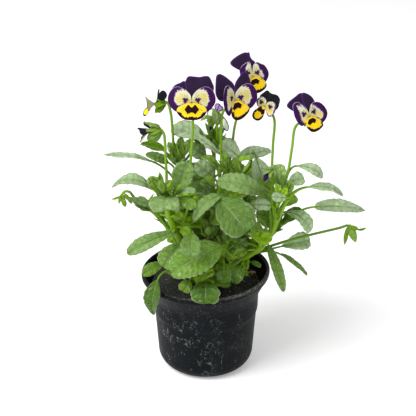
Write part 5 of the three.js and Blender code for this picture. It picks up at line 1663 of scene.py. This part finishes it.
# The profile of the pot's wall from its foot up, moved inwards by an inset.
def potWall(inset, hasStep):
    corner = []
    for degrees in pot["cornerAngles"]:
        angle = math.radians(degrees)
        radius = pot["footRadius"] + (pot["cornerRadius"] - inset - pot["footRadius"]) * math.sin(angle)
        corner.append((radius, inset + (pot["cornerHeight"] - inset) * (1 - math.cos(angle))))
    step = pot["step"] if hasStep else pot["step"][:1]
    return corner + [(radius - inset, height) for radius, height in [*step, *pot["neck"]]]


# A profile with its corners rounded off.
def rounded(profile, cut, steps=4):
    smooth = [profile[0]]
    for before, corner, after in zip(profile, profile[1:], profile[2:]):
        before, corner, after = Vector(before), Vector(corner), Vector(after)
        reach = [min(cut, (end - corner).length * 0.45) for end in (before, after)]
        start = corner + (before - corner).normalized() * reach[0]
        end = corner + (after - corner).normalized() * reach[1]
        for step in range(steps + 1):
            t = step / steps
            smooth.append(tuple(start.lerp(corner, t).lerp(corner.lerp(end, t), t)))
    return smooth + [profile[-1]]


def makePot(material):
    outside = potWall(0, True)
    inner = potWall(pot["wall"], False)[::-1]
    corner = len(pot["cornerAngles"])
    upper = [outside[corner - 1], *outside[corner:], *pot["lip"], *inner[:-corner], inner[-corner]]
    profile = [
        (0, 0), *outside[:corner - 1], *rounded(upper, pot["rounding"]), *inner[1 - corner:],
        (0, pot["wall"])]
    piece = turned("potShell", profile, pot["sides"])
    cutter = drainCutter()
    piece.modifiers.new("drain", "BOOLEAN").object = cutter
    mesh = applied(piece)
    bpy.data.objects.remove(cutter)
    stepHeight = pot["step"][1][1]
    for vertex in mesh.vertices:
        share = max(0, (vertex.co.z / mm - stepHeight) / (pot["height"] - stepHeight))
        vertex.co.z += pot["warp"] * vertex.co.x * share
        calm = min(1, vertex.co.z / (pot["dentFree"] * mm))
        dent = noise.noise(vertex.co * pot["dentScale"]) * pot["dent"] * mm * calm
        vertex.co += Vector((vertex.co.x, vertex.co.y, 0)).normalized() * dent
    mesh.materials.clear()
    mesh.materials.append(material)
    finished(piece, "pot")


def drainCutter():
    shape = bmesh.new()
    radius = pot["drainRadius"] * mm
    for k in range(pot["drainHoles"]):
        angle = 2 * math.pi * (k + 0.5) / pot["drainHoles"]
        centre = Vector((math.cos(angle), math.sin(angle), 0)) * pot["drainCircle"] * mm
        bmesh.ops.create_cone(
            shape, cap_ends=True, segments=pot["drainSides"], radius1=radius, radius2=radius,
            depth=pot["drainDepth"] * mm, matrix=Matrix.Translation(centre))
    return linked("drainCutter", meshOf(shape, "drainCutter"))


# The compost rises from its edge to its crown. Its lumps fade out towards the wall, and calm
# says from which share of the radius on, and over how much of it.
soil = {
    "edgeHeight": 82, "crownHeight": 88, "radius": 50.4, "rings": 56, "sides": 150,
    "inset": 0.8, "below": 2, "calm": (0.86, 0.14),
    "lump": 1.5, "lumpScale": 0.09, "grain": 0.7, "grainScale": 0.45, "fine": 0.6, "fineScale": 1.3,
    "seed": 5, "crumbs": 180000.0, "crumbTurn": (6.28, 6.28, 6.28), "crumbsAbove": 70,
    "chipThick": [0.3, 0.8, 1, 0.9, 0.7, 0.3],
    "chips": [[(246.5, 273.5), (251, 272), (255.5, 271.5)], [(251, 274), (254, 272.5), (256, 272.8)]],
}


def soilHeight(x, y):
    share = math.hypot(x, y) / soil["radius"]
    height = soil["crownHeight"] - (soil["crownHeight"] - soil["edgeHeight"]) * share ** 2
    spot = Vector((x, y, 0))
    start, width = soil["calm"]
    lump = noise.noise(spot * soil["lumpScale"] + Vector((3, 1, soil["seed"]))) * soil["lump"]
    grain = noise.noise(spot * soil["grainScale"]) * soil["grain"]
    grain += noise.noise(spot * soil["fineScale"]) * soil["grain"] * soil["fine"]
    return height + (lump + grain) * (1 - max(0, share - start) / width)


# Where the line of sight through a spot of the view meets the top of the compost.
def onSoil(across, down):
    near, far = place((across, down, -40)), place((across, down, 0))
    height = (soil["crownHeight"] - 1) * mm
    return near.lerp(far, (height - near.z) / (far.z - near.z))


def makeSoil(material, strewn, strawTree):
    inner = [(radius, height) for radius, height in potWall(pot["wall"] + soil["inset"], False)
             if height < soil["edgeHeight"] - soil["below"]]
    top = [(soil["radius"] * k / soil["rings"], soil["edgeHeight"]) for k in range(soil["rings"], 0, -1)]
    base = turned("soilBody", [(0, inner[0][1]), *inner, *top, (0, soil["crownHeight"])], soil["sides"])
    for vertex in base.data.vertices:
        if vertex.co.z > (soil["edgeHeight"] - 0.1) * mm:
            vertex.co.z = soilHeight(vertex.co.x / mm, vertex.co.y / mm) * mm
    base.data.materials.append(material)
    finished(base, "soil")

    shape = bmesh.new()
    shape.from_mesh(base.data)
    lowest = soil["crumbsAbove"] * mm
    low = [
        face for face in shape.faces
        if face.normal.z < 0.5 or face.calc_center_median().z < lowest]
    bmesh.ops.delete(shape, geom=low, context="FACES")
    sizes = {"Density": soil["crumbs"], "Seed": soil["seed"]}
    crumbs = grown("soilCrumbs", meshOf(shape, "soilSurface"), strewn, sizes)
    finished(crumbs, "soil")
    thick = np.array(soil["chipThick"]) * mm
    chips = [
        dict(points=smoothPath([onSoil(*end) for end in ends], len(thick)), thick=thick)
        for ends in soil["chips"]]
    finished(stalkPiece("soilChips", chips, strawTree, {"Sides": 6}), "soil")
    print("soil", len(base.data.polygons), "crumbs", len(crumbs.data.polygons))


crumb = {
    "radius": 0.7, "rough": 0.35, "roughScale": 2600,
    "stretches": [(1, 0.8, 0.7), (1.5, 0.6, 0.4), (0.8, 0.8, 0.8)],
}


# Three rough lumps that the crumbs are copies of.
def crumbCollection():
    collection = bpy.data.collections.new("crumbShapes")
    for k, stretch in enumerate(crumb["stretches"]):
        shape = bmesh.new()
        bmesh.ops.create_icosphere(shape, subdivisions=1, radius=crumb["radius"] * mm)
        for vertex in shape.verts:
            lump = noise.noise(vertex.co * crumb["roughScale"] + Vector((k, 0, 0)))
            rough = 1 + crumb["rough"] * lump
            vertex.co = Vector([value * size * rough for value, size in zip(vertex.co, stretch)])
        collection.objects.link(bpy.data.objects.new(f"crumb{k}", meshOf(shape, f"crumb{k}")))
    return collection


shapes = {
    "blades": bladeTree([
        skin("leafTop", leafPaint(True), leafGloss), skin("leafUnder", leafPaint(False), leafGloss)]),
    "stalks": stalkTree(skin("stalk", stalkPaint, leafGloss)),
    "upperPetals": petalTree("upperPetals", petalSkins("upper", upperPaint)),
    "facePetals": petalTree("facePetals", petalSkins("side", sidePaint) + petalSkins("lip", lipPaint)),
    **{finish: stalkTree(budSkin(own)) for finish, own in budFinishes.items()},
}


for name, stem in stems.items():
    makeStem(name, stem)
print("stems, leaves and calyxes", len(stems))
for name, bloom in blooms.items():
    makeBloom(name, bloom)
for name, bud in buds.items():
    makeBud(name, bud)
print("blooms and buds", len(blooms) + len(buds))

makePot(skin("potPlastic", potPaint, {"Specular IOR Level": 0.05}))
strewn = crumbTree(crumbCollection(), skin("crumb", crumbPaint))
makeSoil(skin("soilGround", soilPaint), strewn, stalkTree(skin("strawChip", strawPaint)))
print("pot and soil")


def areaLight(name, spot, aim, width, power):
    data = bpy.data.lights.new(name, "AREA")
    data.shape = "DISK"
    data.size = width
    data.energy = power
    lamp = linked(name, data)
    lamp.location = spot
    lamp.rotation_euler = (Vector(aim) - Vector(spot)).to_track_quat("-Z", "Y").to_euler()


# Each lamp has its place, its width and its watts, all in metres and aimed at one point.
studio = {
    "sky": 0.6, "floorGlow": 0.22, "floorSide": 6, "aim": (0, 0, 0.15),
    "key": ((-1.1, -0.7, 1.7), 1.5, 46.0),
    "fill": ((0.9, -1.2, 0.7), 1.2, 3.0),
}


def makeStage():
    scene = bpy.context.scene
    world = bpy.data.worlds.new("studio")
    world.use_nodes = True
    world.node_tree.nodes.clear()
    graph = Graph(world.node_tree)
    sky = graph.node("ShaderNodeBackground", {}, {"Color": (1, 1, 1, 1), "Strength": studio["sky"]})
    graph.node("ShaderNodeOutputWorld", {}, {"Surface": sky})
    scene.world = world
    for name in ("key", "fill"):
        spot, width, power = studio[name]
        areaLight(name, spot, studio["aim"], width, power)

    side = studio["floorSide"]
    mesh = bpy.data.meshes.new("floor")
    corners = [(-side, -side, 0), (side, -side, 0), (side, side, 0), (-side, side, 0)]
    mesh.from_pydata(corners, [], [(0, 1, 2, 3)])
    mesh.materials.append(skin("floor", floorPaint, {
        "Emission Color": (1, 1, 1, 1), "Emission Strength": studio["floorGlow"],
    }))
    linked("floor", mesh)

    data = bpy.data.cameras.new("camera")
    data.sensor_width = sight["sensor"]
    data.lens = sight["sensor"] * sight["away"] / (sight["unit"] * sight["width"])
    data.clip_start = sight["nearest"]
    camera = linked("camera", data)
    camera.location = eye
    camera.rotation_euler = ahead.to_track_quat("-Z", "Y").to_euler()
    scene.camera = camera
    scene.view_settings.view_transform = "Standard"


makeStage()
print("stage")
